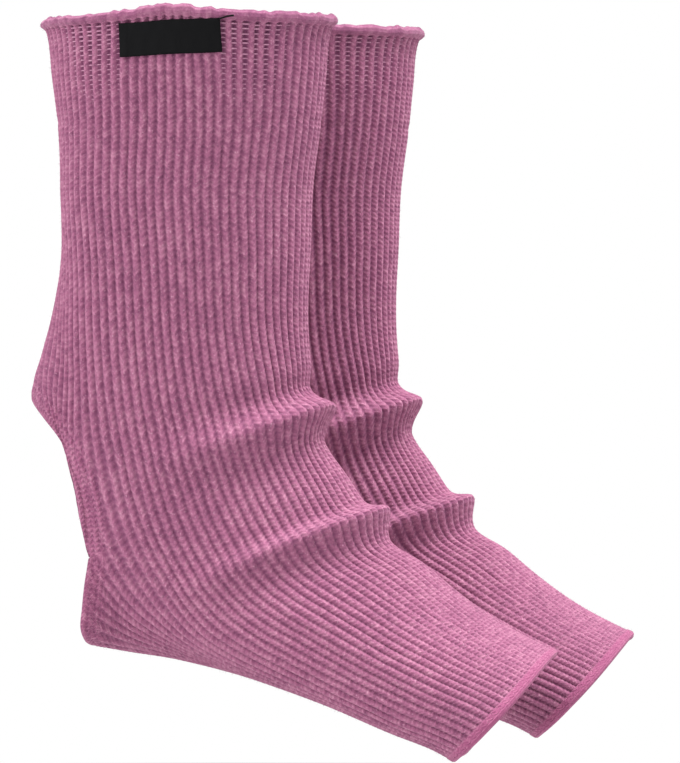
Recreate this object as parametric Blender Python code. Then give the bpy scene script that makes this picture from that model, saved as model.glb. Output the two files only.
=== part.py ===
"""A pair of ribbed yoga socks without heels or toes, each as worn and left hollow.

Each sock is one knitted tube with a slit across the heel. The slit's row parts it into a leg tube and a
foot tube, which meet over the instep and stand apart round the heel opening. The frame is the near sock's:
+Z is up, the toes point to -Y, and the sock's outer side faces -X. The tables are in millimetres, where
p is the distance forward from the leg's axis, h is the height over the ankle and x is the half width.
"""

import math

import bpy
import numpy as np

MM = 0.001

RIBS = 76
POINTS_PER_RIB = 2
INNER_POINTS = 38
RIB_HEIGHT = 0.9
WALL = 1.9
EDGE_RELIEF = 0.6
SEAM_GAP = 0.3
SOCK_SPACING = 106.0
SECTION_POINTS = 720
GRID_STEP = 1.0
GRID_ROUND = 608
NORMAL_REACH = 9

# The heel opening starts at this share of the way round, counted from the shin.
CORNER = 0.395
SEAM_BLEND = 16.0

# Away from the slit, the corners of its row soften over this many grid places round the tube.
ROW_SOFTNESS = 16

# The ribs bend round the ankle over this length, on each side of the slit's row.
BEND_REACH = 44.0
BEND_SOFTNESS = 20.0

# The cuff's knit is gathered under the label.
LABEL_AT = 0.224
GATHER = 0.26
GATHER_REACH = 0.085
GATHER_LENGTH = 60.0
LABEL_LIFT = 3.0

# Sections of the leg tube: the distance down the knit, the section's back and front points, its half width,
# how much narrower it is in front than behind, and how square its back is (1 is round, less is squarer).
LEG_COLUMNS = ("down", "back_p", "back_h", "front_p", "front_h", "half", "egg", "square")
LEG_ROWS = (
    (0.0, -51.6, 116.0, 55.5, 117.0, 41.5, 0.05, 0.90),
    (6.0, -49.7, 111.0, 53.4, 111.5, 40.5, 0.05, 0.88),
    (22.0, -47.6, 95.5, 51.6, 95.5, 38.5, 0.07, 0.82),
    (39.0, -45.3, 78.5, 49.9, 78.5, 36.5, 0.09, 0.76),
    (59.0, -44.2, 58.0, 47.2, 58.0, 35.0, 0.12, 0.72),
    (84.0, -45.4, 33.5, 46.0, 33.5, 33.5, 0.14, 0.70),
    (101.0, -49.3, 18.0, 45.0, 15.0, 32.5, 0.14, 0.68),
    (113.0, -53.2, 7.5, 45.0, 2.0, 32.0, 0.12, 0.68),
    (121.0, -56.5, -1.0, 45.6, -7.0, 32.0, 0.10, 0.68),
    (129.0, -58.2, -8.0, 46.8, -15.5, 32.0, 0.08, 0.68),
    (137.0, -58.1, -15.0, 49.0, -23.5, 32.0, 0.06, 0.68),
    (145.0, -57.2, -20.5, 51.5, -31.0, 32.0, 0.04, 0.68),
)

# Sections of the foot tube: the distance on from the slit, then the same columns, where the back is the
# sole, then how far the section bows along the foot at its outer and its inner side, and last the share of
# the outline from the top down to the ribs that come from the corner of the heel opening.
FOOT_COLUMNS = LEG_COLUMNS + ("bow_outer", "bow_inner", "low")
FOOT_ROWS = (
    (0.0, -29.5, -110.0, 51.5, -31.0, 31.5, 0.10, 0.80, 0.0, 0.0, 0.395),
    (16.0, -16.0, -113.2, 57.5, -44.5, 33.0, 0.14, 0.74, 0.0, 0.0, 0.403),
    (32.0, 0.0, -115.4, 66.0, -58.0, 34.0, 0.18, 0.68, 0.0, 0.0, 0.408),
    (48.0, 17.0, -118.6, 76.0, -69.0, 35.5, 0.20, 0.64, 0.0, 0.0, 0.410),
    (66.0, 37.0, -123.2, 88.5, -79.5, 37.0, 0.20, 0.62, 1.2, -0.8, 0.408),
    (86.0, 59.0, -129.5, 102.5, -91.0, 38.5, 0.18, 0.62, 3.6, -3.2, 0.404),
    (108.0, 82.0, -138.0, 118.0, -101.5, 40.0, 0.14, 0.64, 5.0, -5.4, 0.400),
    (128.0, 99.6, -144.2, 133.0, -109.2, 40.5, 0.12, 0.68, 6.2, -7.6, 0.397),
    (136.0, 106.0, -147.6, 139.2, -112.0, 40.5, 0.12, 0.70, 6.8, -8.6, 0.396),
)

# How soon a bowed section leaves its middle line: 1 slants it straight, 2 rounds it.
BOW_POWER = 1.3

# The slit's row, from the shin's middle (share 0) to the corner of the heel opening (share 1).
INSTEP_ROW = (
    (0.00, 51.5, -31.0, 0.0),
    (0.13, 49.8, -34.0, 8.8),
    (0.26, 44.0, -41.0, 17.0),
    (0.52, 24.0, -58.0, 28.0),
    (0.78, -2.0, -72.5, 31.8),
    (1.00, -26.0, -78.0, 29.8),
)
# The upper edge of the heel opening, from its corner (share 0) up to the Achilles tendon (share 1).
UPPER_EDGE = (
    (0.00, -26.0, -78.0, 29.8),
    (0.14, -26.9, -66.0, 30.2),
    (0.28, -28.8, -55.0, 30.0),
    (0.42, -32.3, -44.8, 29.2),
    (0.57, -38.2, -35.5, 27.0),
    (0.72, -46.0, -28.3, 22.0),
    (0.87, -53.8, -22.6, 12.5),
    (1.00, -57.2, -20.5, 0.0),
)
# The lower edge of the heel opening, from its corner (share 0) to the middle of the sole (share 1).
LOWER_EDGE = (
    (0.00, -26.0, -78.0, 29.8),
    (0.20, -27.4, -86.5, 30.3),
    (0.42, -28.4, -96.0, 30.5),
    (0.60, -29.4, -104.0, 29.2),
    (0.72, -29.4, -108.2, 24.5),
    (0.85, -29.4, -109.8, 13.5),
    (1.00, -29.5, -110.0, 0.0),
)

# Folds: the tube, the distance along it in front, how far the crest drifts along the tube towards the sides,
# the crest's height, the widths of its slope above and below, and the share round at which it has died out
# on the outer side and on the inner side.
FOLD_COLUMNS = ("tube", "at", "drift", "height", "above", "below", "outer", "inner")
FOLDS = (
    ("leg", 138.5, -8.0, 5.8, 4.2, 6.0, 0.34, 0.24),
    ("foot", 40.5, -17.0, 5.9, 5.0, 6.0, 0.36, 0.26),
    ("foot", 13.0, -13.0, -1.8, 6.0, 8.0, 0.32, 0.24),
    ("leg", 129.5, -8.0, -1.5, 4.5, 3.5, 0.32, 0.22),
    ("foot", 55.0, -15.0, -1.8, 6.0, 9.0, 0.35, 0.24),
)

# Rows at which the walls have a ring of points: the distance along the tube, and the drift at the sides.
RING_COLUMNS = ("at", "drift")
LEG_RINGS = (
    (0.0, 0.0),
    (2.2, 0.0),
    (6.0, 0.0),
    (39.0, 0.0),
    (84.0, -2.0),
    (106.0, -5.0),
    (120.0, -7.0),
    (129.5, -8.0),
    (134.3, -8.0),
    (138.5, -8.0),
    (145.0, 0.0),
)
FOOT_RINGS = (
    (0.0, 0.0),
    (13.0, -8.0),
    (24.0, -12.0),
    (34.0, -17.0),
    (40.5, -17.0),
    (47.5, -17.0),
    (56.0, -15.0),
    (70.0, -8.0),
    (98.0, 0.0),
    (130.0, 0.0),
    (132.4, 0.0),
    (136.0, 0.0),
)

# The label lies straight and a little askew on the rounded cuff: how far down its two long edges lie at its
# middle and at its ends, how much higher its front end is, and how far it leans.
LABEL_ROUND = 36.6
LABEL_EDGE_COLUMNS = ("middle", "ends")
LABEL_UPPER = (5.4, 4.0)
LABEL_LOWER = (16.6, 16.1)
LABEL_TILT = 1.6
LABEL_LEAN = 0.05
LABEL_THICK = 0.8
LABEL_COLUMNS = 12
LABEL_ROWS = 3

MATERIALS = {
    "knit": ("#B5668F", 0.95),
    "label": ("#17171A", 0.80),
}


def eased(t):
    """A smooth step from 0 to 1."""
    t = np.clip(t, 0.0, 1.0)
    return t * t * (3.0 - 2.0 * t)


def along_table(rows, at):
    """All columns of a table at the positions `at` in its first column, on a smooth curve through its rows."""
    table = np.array(rows, float)
    key = table[:, 0]
    slope = np.gradient(table, key, axis=0)
    at = np.clip(np.atleast_1d(np.asarray(at, float)), key[0], key[-1])
    i = np.clip(np.searchsorted(key, at, side="right") - 1, 0, len(key) - 2)
    width = (key[i + 1] - key[i])[:, None]
    t = (at - key[i])[:, None] / width
    start = (1 + 2 * t) * (1 - t) ** 2 * table[i] + t * (1 - t) ** 2 * width * slope[i]
    end = t * t * (3 - 2 * t) * table[i + 1] + t * t * (t - 1) * width * slope[i + 1]
    return start + end


def level_at(rows, row, side):
    """The table with a mirror image of its next row added past `row`, so that the curve crosses it level."""
    here, beside = rows[row], rows[row + side]
    mirrored = (2 * here[0] - beside[0], *beside[1:3], 2 * here[3] - beside[3])
    return (mirrored, *rows) if side > 0 else (*rows, mirrored)


def gathered(share, down):
    """The place round the section of each rib, drawn together under the label near the rim."""
    away = (share - LABEL_AT) / GATHER_REACH
    fade = GATHER * np.clip(1 - down / GATHER_LENGTH, 0, 1) ** 2
    return share - fade * GATHER_REACH * away * np.exp(-away * away)


def lowered(share, low):
    """The place round a foot section of each rib, moved down its sides so that the sole's ribs stay below."""
    folded = np.minimum(share, 1 - share)
    bump = eased(folded / CORNER) * eased((0.5 - folded) / (0.5 - CORNER))
    return share + np.where(share <= 0.5, 1.0, -1.0) * (low - CORNER) * bump


def section(row, share, down=None):
    """Points of one section at the shares round it, evenly spaced along its outline."""
    back_p, back_h, front_p, front_h, half, egg, square = row[1:8]
    angle = np.linspace(0, 2 * math.pi, SECTION_POINTS + 1)
    c, s = np.cos(angle), np.sin(angle)
    reach = np.where(c > 0, c, -np.abs(c) ** square)
    outline = np.stack(
        [
            (back_p + front_p) / 2 + (front_p - back_p) / 2 * reach,
            (back_h + front_h) / 2 + (front_h - back_h) / 2 * reach,
            half * s * (1 - egg * c),
        ],
        axis=1,
    )
    if len(row) > 8:
        bow = np.where(s > 0, row[8], row[9]) * np.abs(s) ** BOW_POWER
        outline[:, :2] += bow[:, None] * tube_direction(row)
    steps = np.linalg.norm(np.diff(outline, axis=0), axis=1)
    length = np.concatenate([[0], np.cumsum(steps)]) / steps.sum()
    place = lowered(share, row[10]) if down is None else gathered(share, down)
    return np.stack([np.interp(place, length, outline[:, k]) for k in range(3)], axis=1)


def tube_direction(row):
    """The direction along the tube at a section, square to the line from its front to its back."""
    back_p, back_h, front_p, front_h = row[1:5]
    across = np.array([front_h - back_h, back_p - front_p])
    return across / np.linalg.norm(across)


def slit_row(share, edge):
    """The slit's row: over the instep, and round the heel opening on the edge given."""
    folded = np.minimum(share, 1 - share)
    side = np.where(share <= 0.5, 1.0, -1.0)
    front = along_table(level_at(INSTEP_ROW, 0, 1), folded / CORNER)[:, 1:]
    back = along_table(level_at(edge, -1, -1), np.maximum(folded - CORNER, 0) / (0.5 - CORNER))[:, 1:]
    points = np.where((folded < CORNER)[:, None], front, back)
    points[:, 2] *= side
    return points


LEG_END = LEG_ROWS[-1][0]
FOOT_END = FOOT_ROWS[-1][0]
LEG_LAST = along_table(LEG_ROWS, LEG_END)[0]
FOOT_FIRST = along_table(FOOT_ROWS, 0.0)[0]
LEG_SAG_FROM = 62.0
LEG_SAG_POWER = 1.5
FOOT_SAG_TO = 74.0
FOOT_SAG_POWER = 2.2


def softened(rows, away):
    """A closed row of shifts with its corners softened, the more the further it is from the slit."""
    offsets = np.arange(-3 * ROW_SOFTNESS, 3 * ROW_SOFTNESS + 1)
    kernel = np.exp(-0.5 * (offsets / ROW_SOFTNESS) ** 2)
    soft = sum(k * np.roll(rows, o, axis=0) for o, k in zip(offsets, kernel / kernel.sum()))
    return rows + eased(away / 26.0) * (soft - rows)


def base(tube, at, share):
    """The smooth cloth, without folds or ribs, one row of points at `at` along a tube."""
    if tube == "leg":
        points = section(along_table(LEG_ROWS, at)[0], share, at)
        shift = softened(slit_row(share, UPPER_EDGE) - section(LEG_LAST, share, LEG_END), LEG_END - at)
        weight = max(0.0, (at - LEG_SAG_FROM) / (LEG_END - LEG_SAG_FROM)) ** LEG_SAG_POWER
        lift = LABEL_LIFT * np.exp(-(((share - LABEL_AT) / 0.07) ** 2)) * max(0.0, 1 - at / 25)
        points[:, 1] += lift
    else:
        points = section(along_table(FOOT_ROWS, at)[0], share)
        shift = softened(slit_row(share, LOWER_EDGE) - section(FOOT_FIRST, share), at)
        weight = max(0.0, 1 - at / FOOT_SAG_TO) ** FOOT_SAG_POWER
    return points + weight * shift


def plain_grid(tube):
    """The smooth cloth at every GRID_STEP along a tube and GRID_ROUND places round it."""
    end = LEG_END if tube == "leg" else FOOT_END
    share = np.arange(GRID_ROUND) / GRID_ROUND
    rows = np.linspace(0, end, int(end / GRID_STEP) + 1)
    return rows, np.array([base(tube, at, share) for at in rows])


def outward(points):
    """The outward directions of a grid of points, each taken over the width of a rib or two."""
    along = np.gradient(points, axis=0)
    round_it = np.roll(points, -1, axis=1) - np.roll(points, 1, axis=1)
    area = np.cross(round_it, along)
    return unit(sum(np.roll(area, k, axis=1) for k in range(-NORMAL_REACH, NORMAL_REACH + 1)))


def bent(leg, foot, folded):
    """Both grids with the ribs of the instep led round the ankle in one soft bend."""
    line = np.concatenate([leg[:-1], foot])
    place = np.arange(len(line)) - (len(leg) - 1)
    offsets = np.arange(-int(2.5 * BEND_SOFTNESS), int(2.5 * BEND_SOFTNESS) + 1)
    kernel = np.exp(-0.5 * (offsets / BEND_SOFTNESS) ** 2)
    kernel /= kernel.sum()
    soft = np.zeros_like(line)
    for offset, share in zip(offsets, kernel):
        soft += share * line[np.clip(np.arange(len(line)) + offset, 0, len(line) - 1)]
    near = eased(1.6 * (1 - np.abs(place) / BEND_REACH))[:, None]
    side = (eased(folded / 0.12) * eased((CORNER - folded) / 0.07))[None, :]
    line += (near * side)[..., None] * (soft - line)
    return line[: len(leg)], line[len(leg) - 1 :]


def unit(vectors):
    """The vectors at length 1."""
    return vectors / np.linalg.norm(vectors, axis=-1)[..., None]


def cloth_grids():
    """The grids of both tubes, with one outward direction where they meet over the instep."""
    share = np.arange(GRID_ROUND) / GRID_ROUND
    folded = np.minimum(share, 1 - share)
    (leg_rows, leg), (foot_rows, foot) = plain_grid("leg"), plain_grid("foot")
    leg_bent, foot_bent = bent(leg, foot, folded)
    behind = (folded >= CORNER)[None, :, None]
    leg, foot = np.where(behind, leg, leg_bent), np.where(behind, foot, foot_bent)
    normals = {"leg": outward(leg), "foot": outward(foot)}
    joint = unit(normals["leg"][-1] + normals["foot"][0])
    grids = {}
    for tube, rows, points in (("leg", leg_rows, leg), ("foot", foot_rows, foot)):
        near = LEG_END - rows if tube == "leg" else rows
        weight = eased(1 - near / SEAM_BLEND)[:, None] * eased((CORNER - folded) / 0.03)
        normal = normals[tube] + weight[..., None] * (joint - normals[tube])
        grids[tube] = (rows, points, unit(normal))
    return grids


def cloth(tube, at, share):
    """Points of the smooth cloth, and its outward directions there."""
    rows, points, normal = GRIDS[tube]
    at, share = np.broadcast_arrays(np.asarray(at, float), np.asarray(share, float))
    r = np.clip(at / rows[-1], 0, 1) * (len(rows) - 1)
    c = (share % 1.0) * GRID_ROUND
    r0 = np.minimum(r.astype(int), len(rows) - 2)
    c0 = c.astype(int) % GRID_ROUND
    c1 = (c0 + 1) % GRID_ROUND
    u, v = (r - r0)[..., None], (c - np.floor(c))[..., None]
    found = []
    for grid in (points, normal):
        upper = grid[r0, c0] * (1 - v) + grid[r0, c1] * v
        lower = grid[r0 + 1, c0] * (1 - v) + grid[r0 + 1, c1] * v
        found.append(upper * (1 - u) + lower * u)
    return found[0], unit(found[1])


def drifting(turn):
    """How the folds and rings leave the section's row: not in front, fully at the side, not behind."""
    turn = np.abs(turn)
    return eased(turn / 0.30) * eased((CORNER + 0.03 - turn) / 0.12)


def fold_height(tube, at, share):
    """How far the folds raise the cloth."""
    turn = np.where(share > 0.5, share - 1, share)
    place = at if tube == "leg" else LEG_END + at
    height = np.zeros_like(share)
    for row in FOLDS:
        fold = dict(zip(FOLD_COLUMNS, row))
        start = fold["at"] if fold["tube"] == "leg" else LEG_END + fold["at"]
        crest = start + fold["drift"] * drifting(turn)
        away = place - crest
        width = np.where(away < 0, fold["above"], fold["below"])
        reach = np.where(turn > 0, fold["outer"], fold["inner"])
        fade = eased(1.25 * (1 - np.abs(turn) / reach))
        height += fold["height"] * fade * np.exp(-((away / width) ** 2))
    return height


def edge_share(tube, at, share):
    """1 on the plain knit at the rim, the heel opening and the toe edge, and 0 on the ribs."""
    folded = np.minimum(share, 1 - share)
    behind = eased((folded - CORNER) / 0.02)
    if tube == "leg":
        rim = eased(1 - (at - 3.0) / 4.0)
        return np.maximum(rim, behind * eased(1 - (LEG_END - at - 4.0) / 4.0))
    toe = eased(1 - (FOOT_END - at - 4.5) / 1.5)
    return np.maximum(toe, behind * eased(1 - (at - 4.0) / 4.0))


def shell(tube, at, share, out):
    """Points of the folded cloth, moved out by `out`."""
    points, normal = cloth(tube, at, share)
    move = fold_height(tube, at, share) + out
    return points + normal * move[..., None]


def to_world(points, sock):
    """Sock coordinates in millimetres to the frame in metres."""
    p, h, x = points[..., 0], points[..., 1], points[..., 2]
    return np.stack([-x + sock * SOCK_SPACING, -p, h], axis=-1) * MM


def ring_row(tube, ring, share):
    """Where a ring of points lies along its tube. The seam's rings leave half of its gap."""
    at, drift = ring
    row = at + drift * drifting(np.where(share > 0.5, share - 1, share))
    if tube == "leg":
        return np.clip(row, 0.0, LEG_END - SEAM_GAP / 2)
    return np.clip(row, SEAM_GAP / 2, FOOT_END)


def wall_mesh(name, tube, rings, sock):
    """One tube's wall: ribbed outside, plain inside, closed at both ends."""
    outer_count = RIBS * POINTS_PER_RIB
    outer_share = np.arange(outer_count) / outer_count
    inner_share = np.arange(INNER_POINTS) / INNER_POINTS
    crest = np.where(np.arange(outer_count) % POINTS_PER_RIB == 0, 1.0, 0.0)
    points, faces = [], []
    for ring in rings:
        at = ring_row(tube, ring, outer_share)
        plain = edge_share(tube, at, outer_share)
        relief = crest * RIB_HEIGHT * (1 - plain) + EDGE_RELIEF * plain
        points.append(shell(tube, at, outer_share, relief))
    for ring in rings:
        at = ring_row(tube, ring, inner_share)
        points.append(shell(tube, at, inner_share, np.full(INNER_POINTS, -WALL)))
    rows = len(rings)
    first_inner = rows * outer_count
    for r in range(rows - 1):
        for i in range(outer_count):
            j = (i + 1) % outer_count
            a, b = r * outer_count, (r + 1) * outer_count
            faces.append((a + i, a + j, b + j, b + i))
        for i in range(INNER_POINTS):
            j = (i + 1) % INNER_POINTS
            a, b = first_inner + r * INNER_POINTS, first_inner + (r + 1) * INNER_POINTS
            faces.append((a + j, a + i, b + i, b + j))
    ratio = outer_count // INNER_POINTS
    for r, turned in ((0, False), (rows - 1, True)):
        outer, inner = r * outer_count, first_inner + r * INNER_POINTS
        for i in range(INNER_POINTS):
            j = (i + 1) % INNER_POINTS
            fan = [(outer + (i * ratio + k + 1) % outer_count, outer + i * ratio + k) for k in range(ratio)]
            middle = ratio // 2
            for k, (ahead, behind) in enumerate(fan):
                corner = inner + (i if k < middle else j)
                faces.append((corner, ahead, behind) if not turned else (corner, behind, ahead))
            bridge = (inner + i, inner + j, outer + i * ratio + middle)
            faces.append(bridge if not turned else bridge[::-1])
    return add_mesh(name, np.concatenate([to_world(p, sock) for p in points]), faces, "knit")


def label_mesh(name, sock):
    """The woven label, made from the cuff's own points moved out."""
    nearby = LABEL_AT + np.linspace(-0.1, 0.1, 201)
    steps = np.linalg.norm(np.diff(cloth("leg", LABEL_UPPER[0], nearby)[0], axis=0), axis=1)
    length = np.concatenate([[0], np.cumsum(steps)]) - steps.sum() / 2
    across = np.linspace(-0.5, 0.5, LABEL_COLUMNS + 1)
    arch = 1 - (2 * across) ** 2
    points, faces = [], []
    for lift in (RIB_HEIGHT + SEAM_GAP + LABEL_THICK, RIB_HEIGHT + SEAM_GAP):
        for t in np.linspace(0, 1, LABEL_ROWS + 1):
            middle, ends = (u + (v - u) * t for u, v in zip(LABEL_UPPER, LABEL_LOWER))
            at = ends + (middle - ends) * arch + LABEL_TILT * across
            shares = np.interp(across * LABEL_ROUND - LABEL_LEAN * (at - LABEL_UPPER[0]), length, nearby)
            points.append(to_world(shell("leg", at, shares, lift), sock))
    wide, count = LABEL_COLUMNS + 1, (LABEL_COLUMNS + 1) * (LABEL_ROWS + 1)
    for r in range(LABEL_ROWS):
        for i in range(LABEL_COLUMNS):
            a = r * wide + i
            faces.append((a, a + 1, a + wide + 1, a + wide))
            faces.append(tuple(count + k for k in (a + wide, a + wide + 1, a + 1, a)))
    last = LABEL_ROWS * wide
    for i in range(LABEL_COLUMNS):
        faces.append((i + 1, i, count + i, count + i + 1))
        faces.append((last + i, last + i + 1, count + last + i + 1, count + last + i))
    for r in range(LABEL_ROWS):
        a, b = r * wide, (r + 1) * wide
        faces.append((a, b, count + b, count + a))
        a, b = a + LABEL_COLUMNS, b + LABEL_COLUMNS
        faces.append((b, a, count + a, count + b))
    return add_mesh(name, np.concatenate(points), faces, "label")


def add_mesh(name, points, faces, slot):
    """An object of these points and faces in the scene."""
    mesh = bpy.data.meshes.new(name)
    mesh.from_pydata([tuple(p) for p in points], [], faces)
    mesh.materials.append(bpy.data.materials[slot])
    mesh.shade_smooth()
    mesh.set_sharp_from_angle(angle=math.radians(50))
    thing = bpy.data.objects.new(name, mesh)
    bpy.context.scene.collection.objects.link(thing)
    return thing


def linear(code):
    """An sRGB hex colour as linear values."""
    parts = [int(code[k : k + 2], 16) / 255 for k in (1, 3, 5)]
    return [c / 12.92 if c <= 0.04045 else ((c + 0.055) / 1.055) ** 2.4 for c in parts]


GRIDS = cloth_grids()


def main():
    for thing in list(bpy.data.objects):
        bpy.data.objects.remove(thing, do_unlink=True)
    for name, (code, rough) in MATERIALS.items():
        material = bpy.data.materials.new(name)
        material.use_nodes = True
        shader = material.node_tree.nodes["Principled BSDF"]
        shader.inputs["Base Color"].default_value = (*linear(code), 1.0)
        shader.inputs["Roughness"].default_value = rough
        shader.inputs["Metallic"].default_value = 0.0
    for sock, side in enumerate(("near", "far")):
        wall_mesh(f"{side}_leg_tube", "leg", LEG_RINGS, sock)
        wall_mesh(f"{side}_foot_tube", "foot", FOOT_RINGS, sock)
    label_mesh("near_label", 0)


if __name__ == "__main__":
    main()
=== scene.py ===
# %% [markdown]
# # A pair of ribbed yoga socks
# Each sock is one knitted tube without a heel or a toe, so the wearer's heel and toes grip the mat. The
# solids of the part give the cloth its true shape. This lesson knits that shape again, stitch by stitch,
# and adds the yarn, the open cuff and the woven label. Everything is in metres in the part's own frame,
# where +Z is up and the toes point to -Y, and the tables of the cloth are in millimetres.

import math

import bpy
import numpy as np
from mathutils import Matrix, Vector


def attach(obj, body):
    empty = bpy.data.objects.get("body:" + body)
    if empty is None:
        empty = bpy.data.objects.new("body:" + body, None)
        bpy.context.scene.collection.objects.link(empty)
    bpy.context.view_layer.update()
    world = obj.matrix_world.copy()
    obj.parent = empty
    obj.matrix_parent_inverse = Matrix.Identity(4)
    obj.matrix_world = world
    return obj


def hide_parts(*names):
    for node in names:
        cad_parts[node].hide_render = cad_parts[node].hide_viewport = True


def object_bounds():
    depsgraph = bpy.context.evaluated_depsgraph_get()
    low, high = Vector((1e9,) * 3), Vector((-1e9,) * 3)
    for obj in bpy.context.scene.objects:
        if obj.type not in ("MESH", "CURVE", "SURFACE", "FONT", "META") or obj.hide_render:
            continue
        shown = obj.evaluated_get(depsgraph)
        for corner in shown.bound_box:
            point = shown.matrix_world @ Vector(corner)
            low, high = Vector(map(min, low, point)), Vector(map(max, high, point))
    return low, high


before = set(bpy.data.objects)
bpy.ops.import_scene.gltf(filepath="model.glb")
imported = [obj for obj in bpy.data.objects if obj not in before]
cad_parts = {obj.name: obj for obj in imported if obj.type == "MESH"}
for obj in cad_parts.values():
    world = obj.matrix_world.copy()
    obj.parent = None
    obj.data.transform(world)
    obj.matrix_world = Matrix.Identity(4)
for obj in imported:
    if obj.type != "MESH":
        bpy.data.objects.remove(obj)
cad_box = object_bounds()
print("nodes:", sorted(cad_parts))

# %% [markdown]
# ## Helpers
# Colours are written as sRGB hex codes, as a dyer's card would give them, and Blender mixes light in linear
# values, so one function turns them. A second small function adds any node with its settings and links, and
# a third starts a material. The others put numbers from arrays on a mesh, and run a node tree on an object
# and keep what it made as a plain mesh. The names of nodes and settings that come back often are short here.
# A mix of colours has its share at input 0, its colours at 6 and 7, and its result at output 2.

# %% Colours, nodes and materials
MM = 0.001
MATHS, VECTORS, MIX, RANGE = "ShaderNodeMath", "ShaderNodeVectorMath", "ShaderNodeMix", "ShaderNodeMapRange"
NOISE, ATTRIBUTE, NAMED = "ShaderNodeTexNoise", "ShaderNodeAttribute", "GeometryNodeInputNamedAttribute"
SPLIT, JOIN, ON_POINTS = "ShaderNodeSeparateXYZ", "ShaderNodeCombineXYZ", "GeometryNodeInstanceOnPoints"
TIMES, TIMES_PLUS, MINUS = ({"operation": kind} for kind in ("MULTIPLY", "MULTIPLY_ADD", "SUBTRACT"))
COSINE, SINE = {"operation": "COSINE"}, {"operation": "SINE"}
NUMBERS, COLOURS, ARROWS = ({"data_type": kind} for kind in ("FLOAT", "RGBA", "FLOAT_VECTOR"))


def linear(code):
    """An sRGB hex colour as linear values."""
    parts = [int(code[k : k + 2], 16) / 255 for k in (1, 3, 5)]
    return [c / 12.92 if c <= 0.04045 else ((c + 0.055) / 1.055) ** 2.4 for c in parts] + [1.0]


def add(tree, kind, settings=None, inputs=(), output=0):
    """Adds a node, sets it, feeds its inputs, in order or by name, and gives back one of its outputs."""
    node = tree.nodes.new(kind)
    for name, value in (settings or {}).items():
        setattr(node, name, value)
    for key, value in inputs.items() if isinstance(inputs, dict) else enumerate(inputs):
        if isinstance(value, bpy.types.NodeSocket):
            tree.links.new(value, node.inputs[key])
        else:
            node.inputs[key].default_value = value
    return node.outputs[output]


def new_material(name, finish):
    """A material, its tree and its shader, with the values that are the same all over its surface."""
    material = bpy.data.materials.new(name)
    material.use_nodes = True
    shader = material.node_tree.nodes["Principled BSDF"]
    for socket, value in finish.items():
        shader.inputs[socket].default_value = value
    return material, material.node_tree, shader


# %% Meshes and Geometry Nodes trees
def write(mesh, name, kind, values):
    """Puts one number or vector per point on a mesh."""
    field = "vector" if kind == "FLOAT_VECTOR" else "value"
    mesh.attributes.new(name, kind, "POINT").data.foreach_set(field, np.asarray(values, np.float32).ravel())


def place(name, points, faces, material=None):
    """A new smooth mesh object at the origin, with its place in its mesh."""
    mesh = bpy.data.meshes.new(name)
    mesh.from_pydata(np.asarray(points).tolist(), [], faces)
    if faces:
        mesh.shade_smooth()
    if material:
        mesh.materials.append(material)
    thing = bpy.data.objects.new(name, mesh)
    bpy.context.scene.collection.objects.link(thing)
    return thing


def new_tree(name, sizes):
    """A Geometry Nodes tree with a geometry input, one named number for each size, and a geometry output."""
    tree = bpy.data.node_groups.new(name, "GeometryNodeTree")
    tree.interface.new_socket("Geometry", in_out="INPUT", socket_type="NodeSocketGeometry")
    for size, value in sizes.items():
        tree.interface.new_socket(size, in_out="INPUT", socket_type="NodeSocketFloat").default_value = value
    tree.interface.new_socket("Geometry", in_out="OUTPUT", socket_type="NodeSocketGeometry")
    return tree, tree.nodes.new("NodeGroupInput").outputs


def finish_tree(tree, geometry, material):
    """Ends a tree in plain geometry with its material."""
    real = add(tree, "GeometryNodeRealizeInstances", inputs={"Geometry": geometry})
    dressed = add(tree, "GeometryNodeSetMaterial", inputs={"Geometry": real, "Material": material})
    tree.links.new(dressed, tree.nodes.new("NodeGroupOutput").inputs[0])


def make_with(thing, tree, sizes):
    """Runs a tree on an object and keeps the result as its plain mesh."""
    modifier = thing.modifiers.new(tree.name, "NODES")
    modifier.node_group = tree
    for item in tree.interface.items_tree:
        if item.in_out == "INPUT" and item.name in sizes:
            modifier[item.identifier] = float(sizes[item.name])
    shown = thing.evaluated_get(bpy.context.evaluated_depsgraph_get())
    mesh = bpy.data.meshes.new_from_object(shown)
    thing.modifiers.clear()
    thing.data = mesh
    mesh.calc_loop_triangles()
    print(thing.name, "has", len(mesh.loop_triangles), "triangles")
    return thing


# %% [markdown]
# ## Camera, floor and light
# A picture of a small thing from two metres away, with a long lens, looks almost flat: the socks keep their
# proportions and lean only a little. A sweep of paper would give the same white ground, but its wall would
# hide the socks from one side. So they stand over a wide round sheet of paper under a white sky. The light is
# as soft as under a cloud, with a large lamp above that lets the folds cast shade downwards.

# %% Camera
# The lens and the height of the horizon are in pixels of a picture 763 tall.
PHOTO_TALL, LENS_PIXELS, HORIZON_PIXELS = 763, 5401, 97.5
SENSOR = 36.0
TURN = math.radians(-72)
CAMERA_AWAY, CAMERA_RIGHT, CAMERA_UP = 1.957, 0.0562, 0.0203
towards_camera = Vector((math.sin(TURN), -math.cos(TURN), 0.0))
to_the_right = (-towards_camera).cross(Vector((0, 0, 1)))
tilt = math.atan(HORIZON_PIXELS / LENS_PIXELS)
ahead = -towards_camera * math.cos(tilt) + Vector((0, 0, -math.sin(tilt)))
lens = bpy.data.cameras.new("long_lens")
lens.sensor_width, lens.lens = SENSOR, LENS_PIXELS / PHOTO_TALL * SENSOR
camera = bpy.data.objects.new("camera", lens)
place_of_camera = CAMERA_AWAY * towards_camera + CAMERA_RIGHT * to_the_right + Vector((0, 0, CAMERA_UP))
axes = Matrix((to_the_right, to_the_right.cross(ahead), -ahead)).transposed().to_4x4()
camera.matrix_world = Matrix.Translation(place_of_camera) @ axes
bpy.context.scene.collection.objects.link(camera)
bpy.context.scene.camera = camera
print("camera at", [round(v, 3) for v in place_of_camera])

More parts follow.
